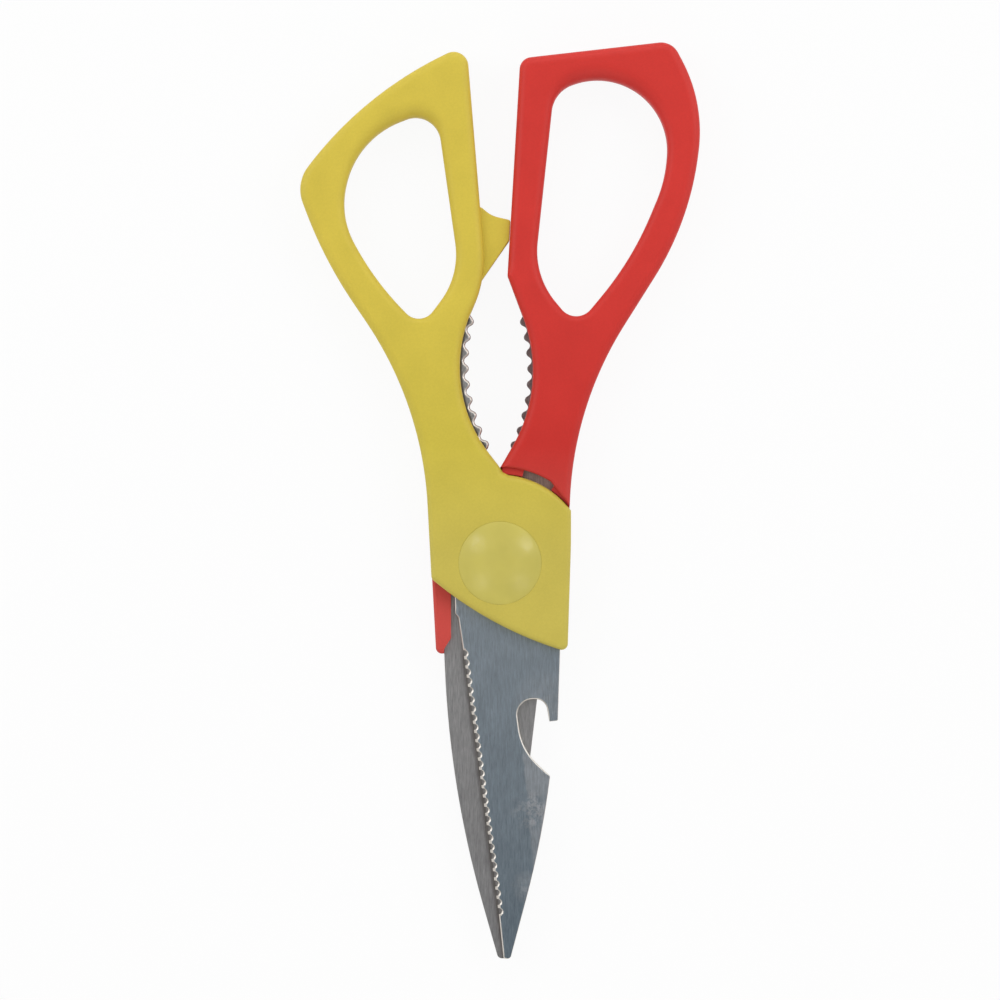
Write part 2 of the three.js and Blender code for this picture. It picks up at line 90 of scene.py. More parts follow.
# Corners of the outlines as x, y and fillet radius, anticlockwise
CORNER = 1.4
YELLOW_BOSS = [(-15.1, -3.5, CORNER), (-2, -14.1, 81), (14.9, -19.62, CORNER), (15.65, 4.3, 100)]
YELLOW_LOOP = [
    (-13.6, 38.75, 31), (-3.03, 62.55, 26), (-7.3, 114.2, 4.1), (-30.05, 103.2, 104),
    (-45.05, 83.5, 10.5), (-38.7, 66.6, 96), (-17.15, 34.8, 79),
]
YELLOW_HOLE = [
    (-14.1, 100.2, 5.9), (-31.4, 93.4, 22.8), (-35.4, 76.6, 21.9), (-27.5, 61.8, 80),
    (-17.45, 51.75, 4.7), (-8.85, 63.2, 17.2),
]
RED_BOSS = [(-14.6, -3.5, CORNER), (-2, -14, 81), (14.05, -20.65, CORNER), (15.15, -0.5, 100)]
RED_LOOP = [
    (-10.5, 39.3, 33), (-1.6, 63.2, CORNER), (-4.4, 111, 2.8), (-37.8, 114.8, 4.2),
    (-45.05, 101.3, 33.5), (-41.85, 75.2, 66), (-16.45, 34.9, 78),
]
RED_HOLE = [
    (-11.9, 103.9, 6.7), (-38.5, 112.8, 15.4), (-36.4, 84.3, 30), (-29, 66.65, 71.6),
    (-16.75, 51.95, 4.1), (-7.5, 63.1, 17.5),
]
CROTCH = [(0.6, 20.05, 0.8), (-0.25, 21.4, 1.2)]
WRAP_COLUMN = [
    (10.8, -2.49, 0), (10.8, -16.55, 0), (12.3, -18.95, 0), (12.3, -FAR, 0), (FAR, -FAR, 0), (FAR, -27.7, 0),
]
NUB = [
    (-8, 78.4, 0), (-8, 56.4, 0), (2.05, 70.9, 0.6), (2.31, 75.4, 0.6), (-1.9, 76.4, 6), (-4.3, 78.4, 2),
]
NUB_LEVELS = (2.0, 8.0)

FRONT_TIP = [(2.3, -BLADE_REACH, 0.9), (9.3, 26.4 - BLADE_REACH, 200)]
OPENER_NOTCH = [
    (11.05, -46.9, 0.3), (4.84, -41.1, 13), (3.3, -29.9, 3.4), (10, -30, 2.6), (10.85, -34.9, 0.2),
    (12.75, -34.7, 0.4),
]
FRONT_EDGE = [
    (-9.85, -11.1, 0.3), (-9.2, -12, 0.3), (-8.15, -18.85, 3), (-0.2, -77.7, 6), (0.8, -BLADE_REACH, 0.4),
]
SCALLOP_LINE = FRONT_EDGE[2:4]
REAR_TIP = [(0.4, -BLADE_REACH, 1.1), (11, 37.3 - BLADE_REACH, 224)]
REAR_EDGE = [(-10.55, -10, 0), (-1.4, -BLADE_REACH, 0.4)]
REAR_BEVEL_HEEL = 5.0

# The tang: the spine's side, height and fillet, the neck's foot, how far the jaw's foot and top lie from its
# end teeth and their fillets, then the heights and fillet of the hidden side and how far behind the jaw it is
FRONT_SPINE, REAR_SPINE = 13.95, 13.3
SPINE_TOP = (3, 3)
NECK_FOOT = (-5, 19.9, 2)
JAW_FOOT = (1.4, 1.3, 1)
JAW_TOP = (1.4, 1.9, 1.5)
TANG_SIDE, TANG_FILLET, TANG_WIDTH = (46, 31), 8, 9.0
# The arc of each jaw: its deepest point, and the angle of its middle in degrees
FRONT_JAW = {"deepest": (-6.9, 43.9), "middle": 187.0}
REAR_JAW = {"deepest": (-6.0, 42.2), "middle": 184.4}
# Points drawn for one tooth, points before the first tooth's top, and the bend that a tooth's edge allows
TOOTH_STEPS, JAW_LEAD, TOOTH_BEND = 16, 5, 0.8
# Where the front blade's outline is that of the notch, the cutting edge and the jaw
NOTCH_SPAN, NOTCH_SIDE = (-47.5, -28), 10.9
EDGE_SIDE = 1.5
JAW_START = 22
# How far gullets and rims lie into the blade and along it, and how much narrower a rim's foot is
GULLET_INWARD, RIM_INWARD, RIM_ALONG, RIM_FOOT = 0.12, 0.24, 0.12, 0.25
SCALLOP_SIDES = 28
# How much a face points up or down: more than FLAT on the sheet's own faces, less than STEEP on the jaw's
# wall, and no less than BEVEL on the rear bevel
FLAT, STEEP, BEVEL = 0.97, 0.62, 0.3

# Marks on the front blade: the lean, wander, border and ends of the ground facet, then for each patch of
# smudges its x, y, outer and inner radius and least and most share, then the painted shadow line by the arm
FACET_LEAN, FACET_WANDER = 0.09, 1.2
FACET_BORDER = (1.7, 2.1)
FACET_ENDS = ((-78, -58), (-39, -43))
SMUDGES = (
    (6.6, -54.5, 5.0, 2.5, -1.1, 0.8), (10.5, -30.5, 8.0, 2.5, 0.3, 0.7), (5.9, -71.2, 3.8, 1.2, 0.3, 1.0),
)
ARM_HOLLOW = {"centre": (22.28, 43.04), "radius": 31.06}
SHADOW_LINE_SPAN = (0.6, 0.15)
# Painted light and shade on the rear blade: where a painted shadow line fades beyond and within the other
# blade's edge and towards the pivot, then the radii between which a painted pool of warm light in the gap at
# the step comes and goes, and the heights over which it starts
SHADE_BEYOND, SHADE_WITHIN, SHADE_START = (1.1, 0.1), (-0.5, 0.0), (-15, -22)
# The ring is painted light: a warm pool of light on the steel in the gap between boss plate and arm step
GAP_LIGHT_RADII, GAP_LIGHT_START = ((18.0, 19.4), (22.5, 21.5)), (8.0, 11.0)
# Depths under a blade's face at which its marks end and are full
MARK_DEPTHS = (0.5, 0.2)
# Colours of the ground facet, of the painted shadow lines by the arm and by the other blade's edge, and of
# the painted warm light in the gap at the step
FACET_COLOUR, SHADOW_LINE_COLOUR, SHADE_COLOUR, GAP_LIGHT_COLOUR = "#BFC2C6", "#3E3A36", "#52453F", "#E0C4B6"
# Heights over which the tones of a handle and a blade change, and where between them the middle tone lies.
# The change is partly painted shade: a handle darker at its boss, a blade darker at its tip and on the rear
# jaw.
HANDLE_SPAN, ARM_PLACE = (2, 62), 0.4
BLADE_SPAN, BLADE_PLACE = (-84, 26), 0.64

# Fineness of the meshes: a chord's error, the widest turn and step along an outline, the rings of an edge
# and a dome, the points round a turned piece, how close points are merged, and the angle of a sharp edge
CHORD = 0.006
WIDEST_STEP = math.radians(6)
SPACING = 1.5
EDGE_STEPS, CAP_EDGE_STEPS = 7, 5
DOME_RINGS, DOME_SPAN = 24, (0.97, 0.02)
TURN_STEPS = 128
MERGED = 0.0001
SHARP = math.radians(22)
# Shares of a wall that fillets may take and of a bend that an edge may take, how fast an edge may widen, how
# deep it is for its width, and the flat strip inside it
WALL_SHARE, BEND_SHARE, WIDENING, EDGE_DEPTH = 0.98, 0.75, 0.5, 0.95
STRIP, STRIP_SHARE = 0.3, 0.15

# Camera: lens and sensor, then the width of what it sees, the middle of that and its level
LENS, SENSOR = 300, 36
VIEW_WIDTH, VIEW_MIDDLE, VIEW_LEVEL = 220, 13.86, 7
# Floor: half its width, how far it lies below the scissors, and its share of glow
FLOOR_HALF, FLOOR_DROP, FLOOR_GLOW = 2000, 0.3, 0.93
# Sky: places on the way up to the zenith, and the grey at each
SKY = ((0.1, 0.9), (0.95, 0.17))
# Lamps: name, azimuth and tilt in degrees, distance and size in metres, power in watts
LAMPS = (
    ("lamp_left", 160, 52, 1.6, 1.2, 8.1), ("lamp_right", 20, 52, 1.6, 1.2, 8.1),
    ("lamp_top", 90, 52, 1.6, 1.2, 6.4), ("lamp_foot", 270, 55, 1.6, 1.2, 3.6),
    ("spot_left", 140, 16, 1.2, 0.16, 0.22), ("spot_right", 35, 17, 1.2, 0.16, 0.22),
    ("spot_left_foot", 226, 14, 1.2, 0.16, 0.12), ("spot_right_foot", 316, 15, 1.2, 0.16, 0.12),
)


def linear(hex_colour):
    """An sRGB hex colour as linear red, green and blue."""
    channels = [int(hex_colour[i:i + 2], 16) / 255 for i in (1, 3, 5)]
    return tuple(c / 12.92 if c <= 0.04045 else ((c + 0.055) / 1.055) ** 2.4 for c in channels)


def length(name, description, millimetres):
    """A length that a user may change."""
    return FloatProperty(
        name=name, description=description, default=millimetres * MM, unit="LENGTH", precision=5,
    )


def colour(name, description, hex_colour):
    """A colour that a user may change."""
    return FloatVectorProperty(
        name=name, description=description, default=linear(hex_colour), subtype="COLOR", min=0, max=1,
    )


class ScissorsSizes(bpy.types.PropertyGroup):
    """Sizes of the edges and details"""

    loop_edge: length("Loop edge", "Rounding of the loops' outer edges", 1.8)
    boss_edge: length("Boss edge", "Rounding of the boss plates' edges", 1.1)
    hole_crown: length("Hole crown", "Width of the slope into the finger holes at their top", 3.7)
    hole_side: length("Hole side", "Width of the slope into the finger holes at their sides", 1.8)
    hole_foot: length("Hole foot", "Width of the slope into the finger holes at their foot", 1.3)
    step_edge: length("Step edge", "Rounding of the arm where it steps down to the boss", 0.7)
    rollover: length("Stamped edge", "Rounding that the press leaves on the front blade's edge", 0.36)
    jaw_rollover: length("Jaw edge", "Rounding that the press leaves on the front jaw", 0.65)
    rear_rollover: length("Rear stamped edge", "Rounding on the rear blade's edge", 0.12)
    tooth_pitch: length("Tooth pitch", "Distance between two teeth of the nutcracker", 3.4)
    tooth_depth: length("Tooth depth", "Depth between two teeth of the nutcracker", 1.0)
    tooth_fullness: FloatProperty(
        name="Tooth fullness", description="How broad the teeth's tops are", default=0.95, min=0.1,
    )
    jaw_radius: length("Jaw radius", "Radius of the nutcracker's jaws", 37.0)
    scallop_pitch: length("Scallop pitch", "Distance between two scallops of the cutting edge", 2.046)
    scallop_radius: length("Scallop radius", "Radius of a scallop", 0.68)
    scallop_rim: length("Scallop rim", "Width of the ground rim round a scallop", 0.2)
    edge_bevel: length("Edge bevel", "Width of the bevel ground along the scalloped edge", 0.6)
    rear_bevel: length("Rear bevel", "Width of the bevel ground along the plain edge", 1.7)
    rear_bevel_depth: length("Rear bevel depth", "Depth of the bevel at the plain edge", 1.4)
    cap_dome: length("Cap dome", "Height of the front cap's dome", 0.85)
    teeth: IntProperty(name="Teeth", description="Number of teeth on a jaw", default=9, min=2)
    scallops: IntProperty(name="Scallops", description="Number of scallops", default=29, min=1)


class ScissorsColours(bpy.types.PropertyGroup):
    """Colours of the finishes"""

    # The arm and boss colours are partly painted shade: darker and duller towards the boss, where less light
    # falls
    yellow: colour("Yellow", "Loop of the yellow handle", "#D1BB46")
    yellow_arm: colour("Yellow arm", "Arm of the yellow handle", "#C9B743")
    yellow_boss: colour("Yellow boss", "Boss of the yellow handle", "#C4B450")
    red: colour("Red", "Loop of the red handle", "#CC332C")
    red_arm: colour("Red arm", "Arm of the red handle", "#C32C25")
    red_boss: colour("Red boss", "Boss of the red handle", "#C4463F")
    yellow_cap: colour("Yellow cap", "Glossy cap in the yellow boss", "#C5B95D")
    red_cap: colour("Red cap", "Glossy cap in the red boss", "#C0342C")
    # The tip colours and the rear jaw's colour are painted shade: darker towards the tip, and darker and
    # warmer on the rear jaw
    front_steel: colour("Front steel", "Brushed front blade", "#A1ACB5")
    front_tip: colour("Front tip", "Brushed front blade at its tip", "#818F9A")
    rear_steel: colour("Rear steel", "Brushed rear blade", "#B2B1B1")
    rear_jaw: colour("Rear jaw", "Brushed jaw of the rear blade", "#928887")
    rear_tip: colour("Rear tip", "Brushed rear blade at its tip", "#A2A1A2")
    ground_steel: colour("Ground steel", "Freshly ground edges and scallops", "#D6D1C9")
    # The sheared wall is a real duller finish, painted much darker as shade on the jaw's steep wall
    shaded_sheared_steel: colour("Sheared steel", "Sheared wall of the front jaw", "#57524F")
    pivot_steel: colour("Pivot steel", "Turned screw, nut and washers", "#C4C4C2")
    floor: colour("Floor", "Paper that the scissors lie on", "#E7E7E7")


def fill(tree, node, inputs):
    """Fills a node's inputs with values, with outputs, or with the first output of another node."""
    for key, value in inputs.items():
        if isinstance(value, bpy.types.Node):
            value = value.outputs[0]
        if isinstance(value, bpy.types.NodeSocket):
            tree.links.new(value, node.inputs[key])
        else:
            node.inputs[key].default_value = value


def put(tree, kind, inputs=None, stops=None, **settings):
    """Adds a node with its settings, and the colours of a ramp by their places, and fills its inputs."""
    made = tree.nodes.new(kind)
    for name, value in settings.items():
        setattr(made, name, value)
    for i, (place, tint) in enumerate((stops or {}).items()):
        elements = made.color_ramp.elements
        element = elements[i] if i < 2 else elements.new(place)
        element.position, element.color = place, tint
    fill(tree, made, inputs or {})
    return made


def arc(radius, start, end):
    """Outline corners along an arc about the pivot, between two angles in degrees."""
    steps = max(2, math.ceil(abs(math.radians(end - start)) / chord_angle(radius)))
    angles = np.radians(np.linspace(start, end, steps + 1))
    return [(radius * math.cos(a), radius * math.sin(a), 0) for a in angles]


def chord_angle(radius):
    """The turn of one chord that stays within the tolerance of an arc."""
    return min(WIDEST_STEP, 2 * math.acos(max(0.0, 1 - CHORD / radius)))


def rounded(corners):
    """Points of a closed outline with its corners rounded, and how tightly it bends outwards at each."""
    points = np.array([corner[:2] for corner in corners], float)
    radii = np.array([corner[2] for corner in corners], float)
    steps = np.roll(points, -1, axis=0) - points
    spans = np.hypot(*steps.T)
    heading = steps / spans[:, None]
    arriving = np.roll(heading, 1, axis=0)
    cross = arriving[:, 0] * heading[:, 1] - arriving[:, 1] * heading[:, 0]
    turns = np.arctan2(cross, np.sum(arriving * heading, axis=1))
    trims = radii * np.tan(np.abs(turns) / 2)
    outline, bends = [], []
    for i, corner in enumerate(corners):
        if trims[i] == 0:
            outline.append(points[i])
            bends.append(corner[3] if len(corner) > 3 else FAR)
            continue
        fits = [WALL_SHARE * spans[k] / (trims[k] + trims[(k + 1) % len(corners)]) for k in (i - 1, i)]
        share = min(1, *fits)
        radius = radii[i] * share
        entry = points[i] - arriving[i] * trims[i] * share
        side = math.copysign(1, turns[i])
        centre = entry + radius * side * np.array([-arriving[i][1], arriving[i][0]])
        count = max(2, math.ceil(abs(turns[i]) / chord_angle(radius)))
        for turn in np.linspace(0, turns[i], count + 1):
            spin = np.array([[math.cos(turn), -math.sin(turn)], [math.sin(turn), math.cos(turn)]])
            outline.append(centre + spin @ (entry - centre))
            bends.append(radius if side > 0 else FAR)
    return spaced(np.array(outline), np.array(bends))


def spaced(points, bends):
    """The same outline with points added along its long straight runs."""
    more, more_bends = [], []
    for i, start in enumerate(points):
        end = points[(i + 1) % len(points)]
        count = max(1, math.ceil(np.hypot(*(end - start)) / SPACING))
        for k in range(count):
            more.append(start + (end - start) * k / count)
            more_bends.append(bends[i] if k == 0 else FAR)
    return np.array(more), np.array(more_bends)


def inset(points, distance):
    """An outline moved into its material by a distance at each point."""
    heading = np.roll(points, -1, axis=0) - points
    heading /= np.hypot(*heading.T)[:, None]
    left = np.stack([-heading[:, 1], heading[:, 0]], axis=1)
    before = np.roll(left, 1, axis=0)
    bisector = (before + left) / (1 + np.sum(before * left, axis=1))[:, None]
    return points + bisector * np.broadcast_to(distance, len(points))[:, None]


def eased(points, bends, width):
    """Edge widths that shrink smoothly towards the tight corners of an outline."""
    allowed = np.minimum(width, BEND_SHARE * bends)
    run = np.concatenate([[0], np.cumsum(np.hypot(*np.diff(points, axis=0).T))])
    whole = run[-1] + np.hypot(*(points[0] - points[-1]))
    apart = np.abs(run[:, None] - run[None, :])
    apart = np.minimum(apart, whole - apart)
    return np.min(allowed[None, :] + WIDENING * apart, axis=1)


def level(points, height):
    """An outline as a ring at a height, or at one height for each point."""
    return np.column_stack([points, np.broadcast_to(height, len(points))])


def edge_rings(points, bends, width, height, outwards):
    """Rings that round an edge from wall to face. Outwards is 1 for a top edge, -1 for a bottom edge."""
    wide = eased(points, bends, width)
    rings = []
    for turn in np.linspace(0, math.pi / 2, EDGE_STEPS):
        drop = EDGE_DEPTH * wide * (1 - math.sin(turn))
        rings.append(level(inset(points, wide * (1 - math.cos(turn))), height - outwards * drop))
    strip = np.minimum(STRIP, STRIP_SHARE * np.minimum(bends, 3 * wide))
    rings.append(level(inset(points, wide + strip), height))
    return rings


def walls(outline, bottom, top, bottom_width, top_width):
    """Rings of one loop of a slab, from its lower face up to its upper face."""
    points, bends = outline
    low = edge_rings(points, bends, bottom_width, bottom, -1)
    return low[::-1] + edge_rings(points, bends, top_width, top, 1)


def hole(corners):
    """Outline of a hole, turned round so that its material is on the left."""
    points, _ = rounded(corners)
    return points[::-1], np.full(len(points), FAR)


def plain(outline, bottom, top):
    """Rings of one loop of a slab with square edges."""
    return [level(outline[0], bottom), level(outline[0], top)]


def closed(name, loops):
    """Object of a closed mesh, from loops of rings in millimetres, with flat faces across the end rings."""
    vertices, faces = [], []
    ends = ([], [])
    for rings in loops:
        count = len(rings[0])
        first = len(vertices)
        for ring in rings:
            vertices.extend(Vector(point) * MM for point in ring)
        for low in range(first, len(vertices) - count, count):
            for i in range(count):
                j = (i + 1) % count
                faces.append((low + i, low + j, low + count + j, low + count + i))
        ends[0].append(range(first, first + count))
        ends[1].append(range(len(vertices) - count, len(vertices)))
    for end in ends:
        order = [index for loop in end for index in loop]
        for triangle in tessellate_polygon([[vertices[index] for index in loop] for loop in end]):
            faces.append([order[corner] for corner in triangle])
    return shell(name, vertices, faces)


def shell(name, vertices, faces):
    """Object of a closed mesh with its faces outwards."""
    mesh = bpy.data.meshes.new(name)
    mesh.from_pydata(vertices, [], faces)
    form = bmesh.new()
    form.from_mesh(mesh)
    bmesh.ops.remove_doubles(form, verts=form.verts, dist=MERGED * MM)
    bmesh.ops.recalc_face_normals(form, faces=form.faces)
    if not all(edge.is_manifold for edge in form.edges):
        raise RuntimeError(f"{name} isn't closed")
    form.to_mesh(mesh)
    form.free()
    mesh.shade_smooth()
    made = bpy.data.objects.new(name, mesh)
    bpy.context.scene.collection.objects.link(made)
    return made


def turned(name, profile):
    """Object turned about Z from a profile of radius and height."""
    angles = np.linspace(0, 2 * math.pi, TURN_STEPS, endpoint=False)
    vertices, faces = [], []
    for radius, height in profile:
        vertices.extend(Vector((radius * math.cos(a), radius * math.sin(a), height)) * MM for a in angles)
    last = len(vertices) - TURN_STEPS
    for low in range(0, last, TURN_STEPS):
        high = low + TURN_STEPS
        for i in range(TURN_STEPS):
            j = (i + 1) % TURN_STEPS
            faces.append((low + i, low + j, high + j, high + i))
    faces.append(range(TURN_STEPS))
    faces.append(range(last, len(vertices)))
    return shell(name, vertices, faces)


def carve(target, operation, tool):
    """Cuts a tool from a piece, joins it on or keeps what they share, and removes the tool."""
    modifier = target.modifiers.new("carve", "BOOLEAN")
    modifier.operation = operation
    modifier.solver = "MANIFOLD"
    modifier.object = tool
    depsgraph = bpy.context.evaluated_depsgraph_get()
    mesh = bpy.data.meshes.new_from_object(target.evaluated_get(depsgraph))
    if not mesh.polygons:
        raise RuntimeError(f"{tool.name} left nothing of {target.name}")
    target.modifiers.remove(modifier)
    old = target.data
    target.data = mesh
    bpy.data.meshes.remove(old)
    bpy.data.meshes.remove(tool.data)


def grown(tree, values):
    """Plain mesh that a node tree makes from its named inputs."""
    host = bpy.data.objects.new(tree.name, bpy.data.meshes.new(tree.name))
    bpy.context.scene.collection.objects.link(host)
    modifier = host.modifiers.new(tree.name, "NODES")
    modifier.node_group = tree
    for item in tree.interface.items_tree:
        if item.in_out == "INPUT" and item.name in values:
            modifier[item.identifier] = values[item.name]
    depsgraph = bpy.context.evaluated_depsgraph_get()
    mesh = bpy.data.meshes.new_from_object(host.evaluated_get(depsgraph))
    bpy.data.objects.remove(host)
    return mesh


def node_tree(name, inputs):
    """Empty geometry tree with named inputs, its input node, and a function that ends it."""
    tree = bpy.data.node_groups.new(name, "GeometryNodeTree")
    for label, kind in inputs.items():
        tree.interface.new_socket(label, in_out="INPUT", socket_type="NodeSocket" + kind)
    tree.interface.new_socket("Geometry", in_out="OUTPUT", socket_type="NodeSocketGeometry")
    given = put(tree, "NodeGroupInput").outputs

    def end(geometry):
        whole = put(tree, "GeometryNodeRealizeInstances", {"Geometry": geometry})
        finished = put(tree, "GeometryNodeSetMaterial", {"Geometry": whole, "Material": given["Finish"]})
        put(tree, "NodeGroupOutput", {"Geometry": finished})
        return tree

    return tree, given, end


def jaw_tree():
    """Tree for the toothed line of a jaw: an arc whose points swing outwards between the teeth."""
    tree, given, end = node_tree("jaw_line", {
        "Points": "Int", "Swing": "Float", "Lead": "Float", "Radius": "Float", "Start": "Float",
        "Sweep": "Float", "Depth": "Float", "Fullness": "Float", "Centre": "Vector", "Finish": "Material",
    })
    line = put(tree, "GeometryNodeCurveArc", {
        "Resolution": given["Points"], "Radius": given["Radius"],
        "Start Angle": given["Start"], "Sweep Angle": given["Sweep"],
    })
    index = put(tree, "GeometryNodeInputIndex")
    phase = put(tree, "ShaderNodeMath", {
        0: index, 1: given["Swing"], 2: given["Lead"],
    }, operation="MULTIPLY_ADD")
    wave = put(tree, "ShaderNodeMath", {0: phase}, operation="COSINE")
    sharp = put(tree, "ShaderNodeMath", {0: wave, 1: given["Fullness"]}, operation="MULTIPLY")
    full = put(tree, "ShaderNodeMath", {0: sharp}, operation="TANH")
    most = put(tree, "ShaderNodeMath", {0: given["Fullness"]}, operation="TANH")
    lobe = put(tree, "ShaderNodeMath", {0: full, 1: most}, operation="DIVIDE")
    valley = put(tree, "ShaderNodeMath", {0: 1.0, 1: lobe}, operation="SUBTRACT")
    half = put(tree, "ShaderNodeMath", {0: valley, 1: 0.5}, operation="MULTIPLY")
    depth = put(tree, "ShaderNodeMath", {0: half, 1: given["Depth"]}, operation="MULTIPLY")
    place = put(tree, "GeometryNodeInputPosition")
    outward = put(tree, "ShaderNodeVectorMath", {0: place}, operation="NORMALIZE")
    shift = put(tree, "ShaderNodeVectorMath", {0: outward, "Scale": depth}, operation="SCALE")
    teeth = put(tree, "GeometryNodeSetPosition", {"Geometry": line, "Offset": shift})
    moved = put(tree, "GeometryNodeTransform", {"Geometry": teeth, "Translation": given["Centre"]})
    return end(put(tree, "GeometryNodeCurveToMesh", {"Curve": moved}))


def scallop_tree():
    """Tree for a row of round cutters along the cutting edge."""
    tree, given, end = node_tree("scallop_row", {
        "Count": "Int", "Start": "Vector", "Step": "Vector", "Top": "Float", "Bottom": "Float",
        "Depth": "Float", "Finish": "Material",
    })
    row = put(tree, "GeometryNodeMeshLine", {
        "Count": given["Count"], "Start Location": given["Start"], "Offset": given["Step"],
    }, mode="OFFSET")
    cutter = put(tree, "GeometryNodeMeshCone", {
        "Vertices": SCALLOP_SIDES, "Radius Top": given["Top"], "Radius Bottom": given["Bottom"],
        "Depth": given["Depth"],
    })
    return end(put(tree, "GeometryNodeInstanceOnPoints", {"Points": row, "Instance": cutter}))


def rounded_slope(points, sizes):
    """Width of the slope into a finger hole at each point, wide where the fingers pull at the crown."""
    heading = np.roll(points, -1, axis=0) - np.roll(points, 1, axis=0)
    heading /= np.hypot(*heading.T)[:, None]
    rise = heading[:, 0]
    crown, side, foot = (value / MM for value in (sizes.hole_crown, sizes.hole_side, sizes.hole_foot))
    return side + (crown - side) * np.clip(rise, 0, 1) ** 2 + (foot - side) * np.clip(-rise, 0, 1) ** 2


def handle(name, boss, loop, opening, core, sizes):
    """Moulded handle round its tang: a rounded slab, stepped at the boss and wrapped round the spine."""
    start, end = (math.degrees(math.acos(x / PLATE_ARC)) for x in (boss[3][0], PLATE_ARC_SETBACK))
    points, bends = rounded(boss + arc(PLATE_ARC, start, end) + CROTCH + loop)
    points = inset(points, OUTLINE_ROOM)
    low, high = BOSS_TO_LOOP
    on_loop = np.clip((points[:, 1] - low) / (high - low), 0, 1)
    width = (sizes.boss_edge + (sizes.loop_edge - sizes.boss_edge) * on_loop) / MM
    inner, inner_bends = hole(opening)
    slope = rounded_slope(inner, sizes)
    piece = closed(name, [
        walls((points, bends), 0, THICKNESS, width, width),
        walls((inner, inner_bends), 0, THICKNESS, slope, slope),
    ])
    carve(piece, "DIFFERENCE", boss_step(points, bends, sizes))
    pocket = (inset(core[0], -TANG_ROOM), core[1])
    pocket = closed("pocket", [plain(pocket, BLADE_BOTTOM - TANG_ROOM, BLADE_TOP + TANG_ROOM)])
    carve(piece, "DIFFERENCE", pocket)
    well = SPIGOT_OUTER + SPIGOT_ROOM
    carve(piece, "DIFFERENCE", turned("well", [(well, BLADE_BOTTOM), (well, THICKNESS + PAST)]))
    seat = CAP_RADIUS + CAP_ROOM
    carve(piece, "DIFFERENCE", turned("recess", [
        (seat, CAP_UNDER - SEAT_ROOM), (seat, THICKNESS - CAP_EDGE),
        (seat + CAP_EDGE, THICKNESS), (seat + CAP_EDGE, THICKNESS + PAST),
    ]))
    return piece


def boss_step(points, bends, sizes):
    """Tool that thins a handle to its boss plate with a rounded step, and leaves the wrap round the spine."""
    flat = room(arc(STEP_ARC, 0, STEP_BEND[0]) + arc(STEP_END, STEP_BEND[1], 180))
    wide = sizes.step_edge / MM
    rings = [level(inset(flat, -wide), -PAST)]
    for turn in np.linspace(math.pi / 2, 0, EDGE_STEPS):
        rings.append(level(inset(flat, -wide * (1 - math.cos(turn))), wide * (1 - math.sin(turn))))
    step = closed("step", [rings + [level(flat, BLADE_BOTTOM)]])
    shelf = room(arc(SHELF_ARC, 0, 180))
    carve(step, "UNION", closed("shelf", [[level(shelf, BLADE_BOTTOM - PAST), level(shelf, PLATE_BOTTOM)]]))
    outer = inset(points, -WRAP_OVERLAP)
    wrap = closed("wrap", [walls((outer, bends), WRAP_BOTTOM, THICKNESS + 3 * PAST, *WRAP_EDGES)])
    carve(wrap, "INTERSECT", closed("column", [plain(rounded(WRAP_COLUMN), WRAP_BOTTOM, THICKNESS)]))
    carve(step, "DIFFERENCE", wrap)
    # The ledge on each side of the tang's neck
    for start, end in LEDGES:
        ledge = rounded(arc(STEP_ARC + PAST, start, end) + arc(LEDGE_ARC, end, start))
        carve(step, "DIFFERENCE", closed("ledge", [plain(ledge, LEDGE_TOP, BLADE_BOTTOM + LEDGE_OVERLAP)]))
    return step


def room(top):
    """Outline of the room that a handle leaves for the other half: all that lies below a top edge."""
    return rounded([(-FAR, 0, 0), (-FAR, -FAR, 0), (FAR, -FAR, 0), (FAR, 0, 0)] + top)[0]


def nub():
    """Stop nub that fills the gap between the loops, thinner than the handle."""
    return closed("nub", [walls(rounded(NUB), *NUB_LEVELS, NUB_EDGE, NUB_EDGE)])


def jaw(place, sizes):
    """Toothed line of a jaw as outline corners, from below its lowest tooth up to past its highest."""
    radius = sizes.jaw_radius / MM
    count = (sizes.teeth - 1) * TOOTH_STEPS + 2 * JAW_LEAD
    swing = 2 * math.pi / TOOTH_STEPS
    sweep = count / TOOTH_STEPS * sizes.tooth_pitch / sizes.jaw_radius
    x, y = place["deepest"]
    mesh = grown(jaw_tree(), {
        "Points": count + 1, "Swing": swing, "Lead": -JAW_LEAD * swing, "Radius": radius,
        "Start": math.radians(place["middle"]) + sweep / 2, "Sweep": -sweep,
        "Depth": sizes.tooth_depth / MM, "Fullness": sizes.tooth_fullness, "Centre": (x + radius, y, 0),
    })
    corners = [(vertex.co.x, vertex.co.y, 0, TOOTH_BEND) for vertex in mesh.vertices]
    bpy.data.meshes.remove(mesh)
    return corners


def tang(spine, place, sizes):
    """Corners of a blade above its pivot: round the boss, up the jaw, and down inside the handle."""
    teeth = jaw(place, sizes)
    low, high = teeth[0], teeth[-1]
    inside = place["deepest"][0] - TANG_WIDTH
    back, rise, fillet = JAW_TOP
    top = high[1] + rise
    neck = math.radians(STOP_ANGLE)
    return [
        (spine, *SPINE_TOP), *arc(BLADE_BOSS, STOP_ANGLE - NECK_ANGLE, NECK_ANGLE), NECK_FOOT,
        (low[0] - JAW_FOOT[0], low[1] - JAW_FOOT[1], JAW_FOOT[2]), *teeth,
        (high[0] - back, top, fillet), ((high[0] + inside) / 2, top, fillet),
        *((inside, height, TANG_FILLET) for height in TANG_SIDE),
        (ARM_FOOT * math.cos(neck), ARM_FOOT * math.sin(neck), TANG_FILLET),
        *arc(BLADE_BOSS, STOP_ANGLE, 180),
    ]


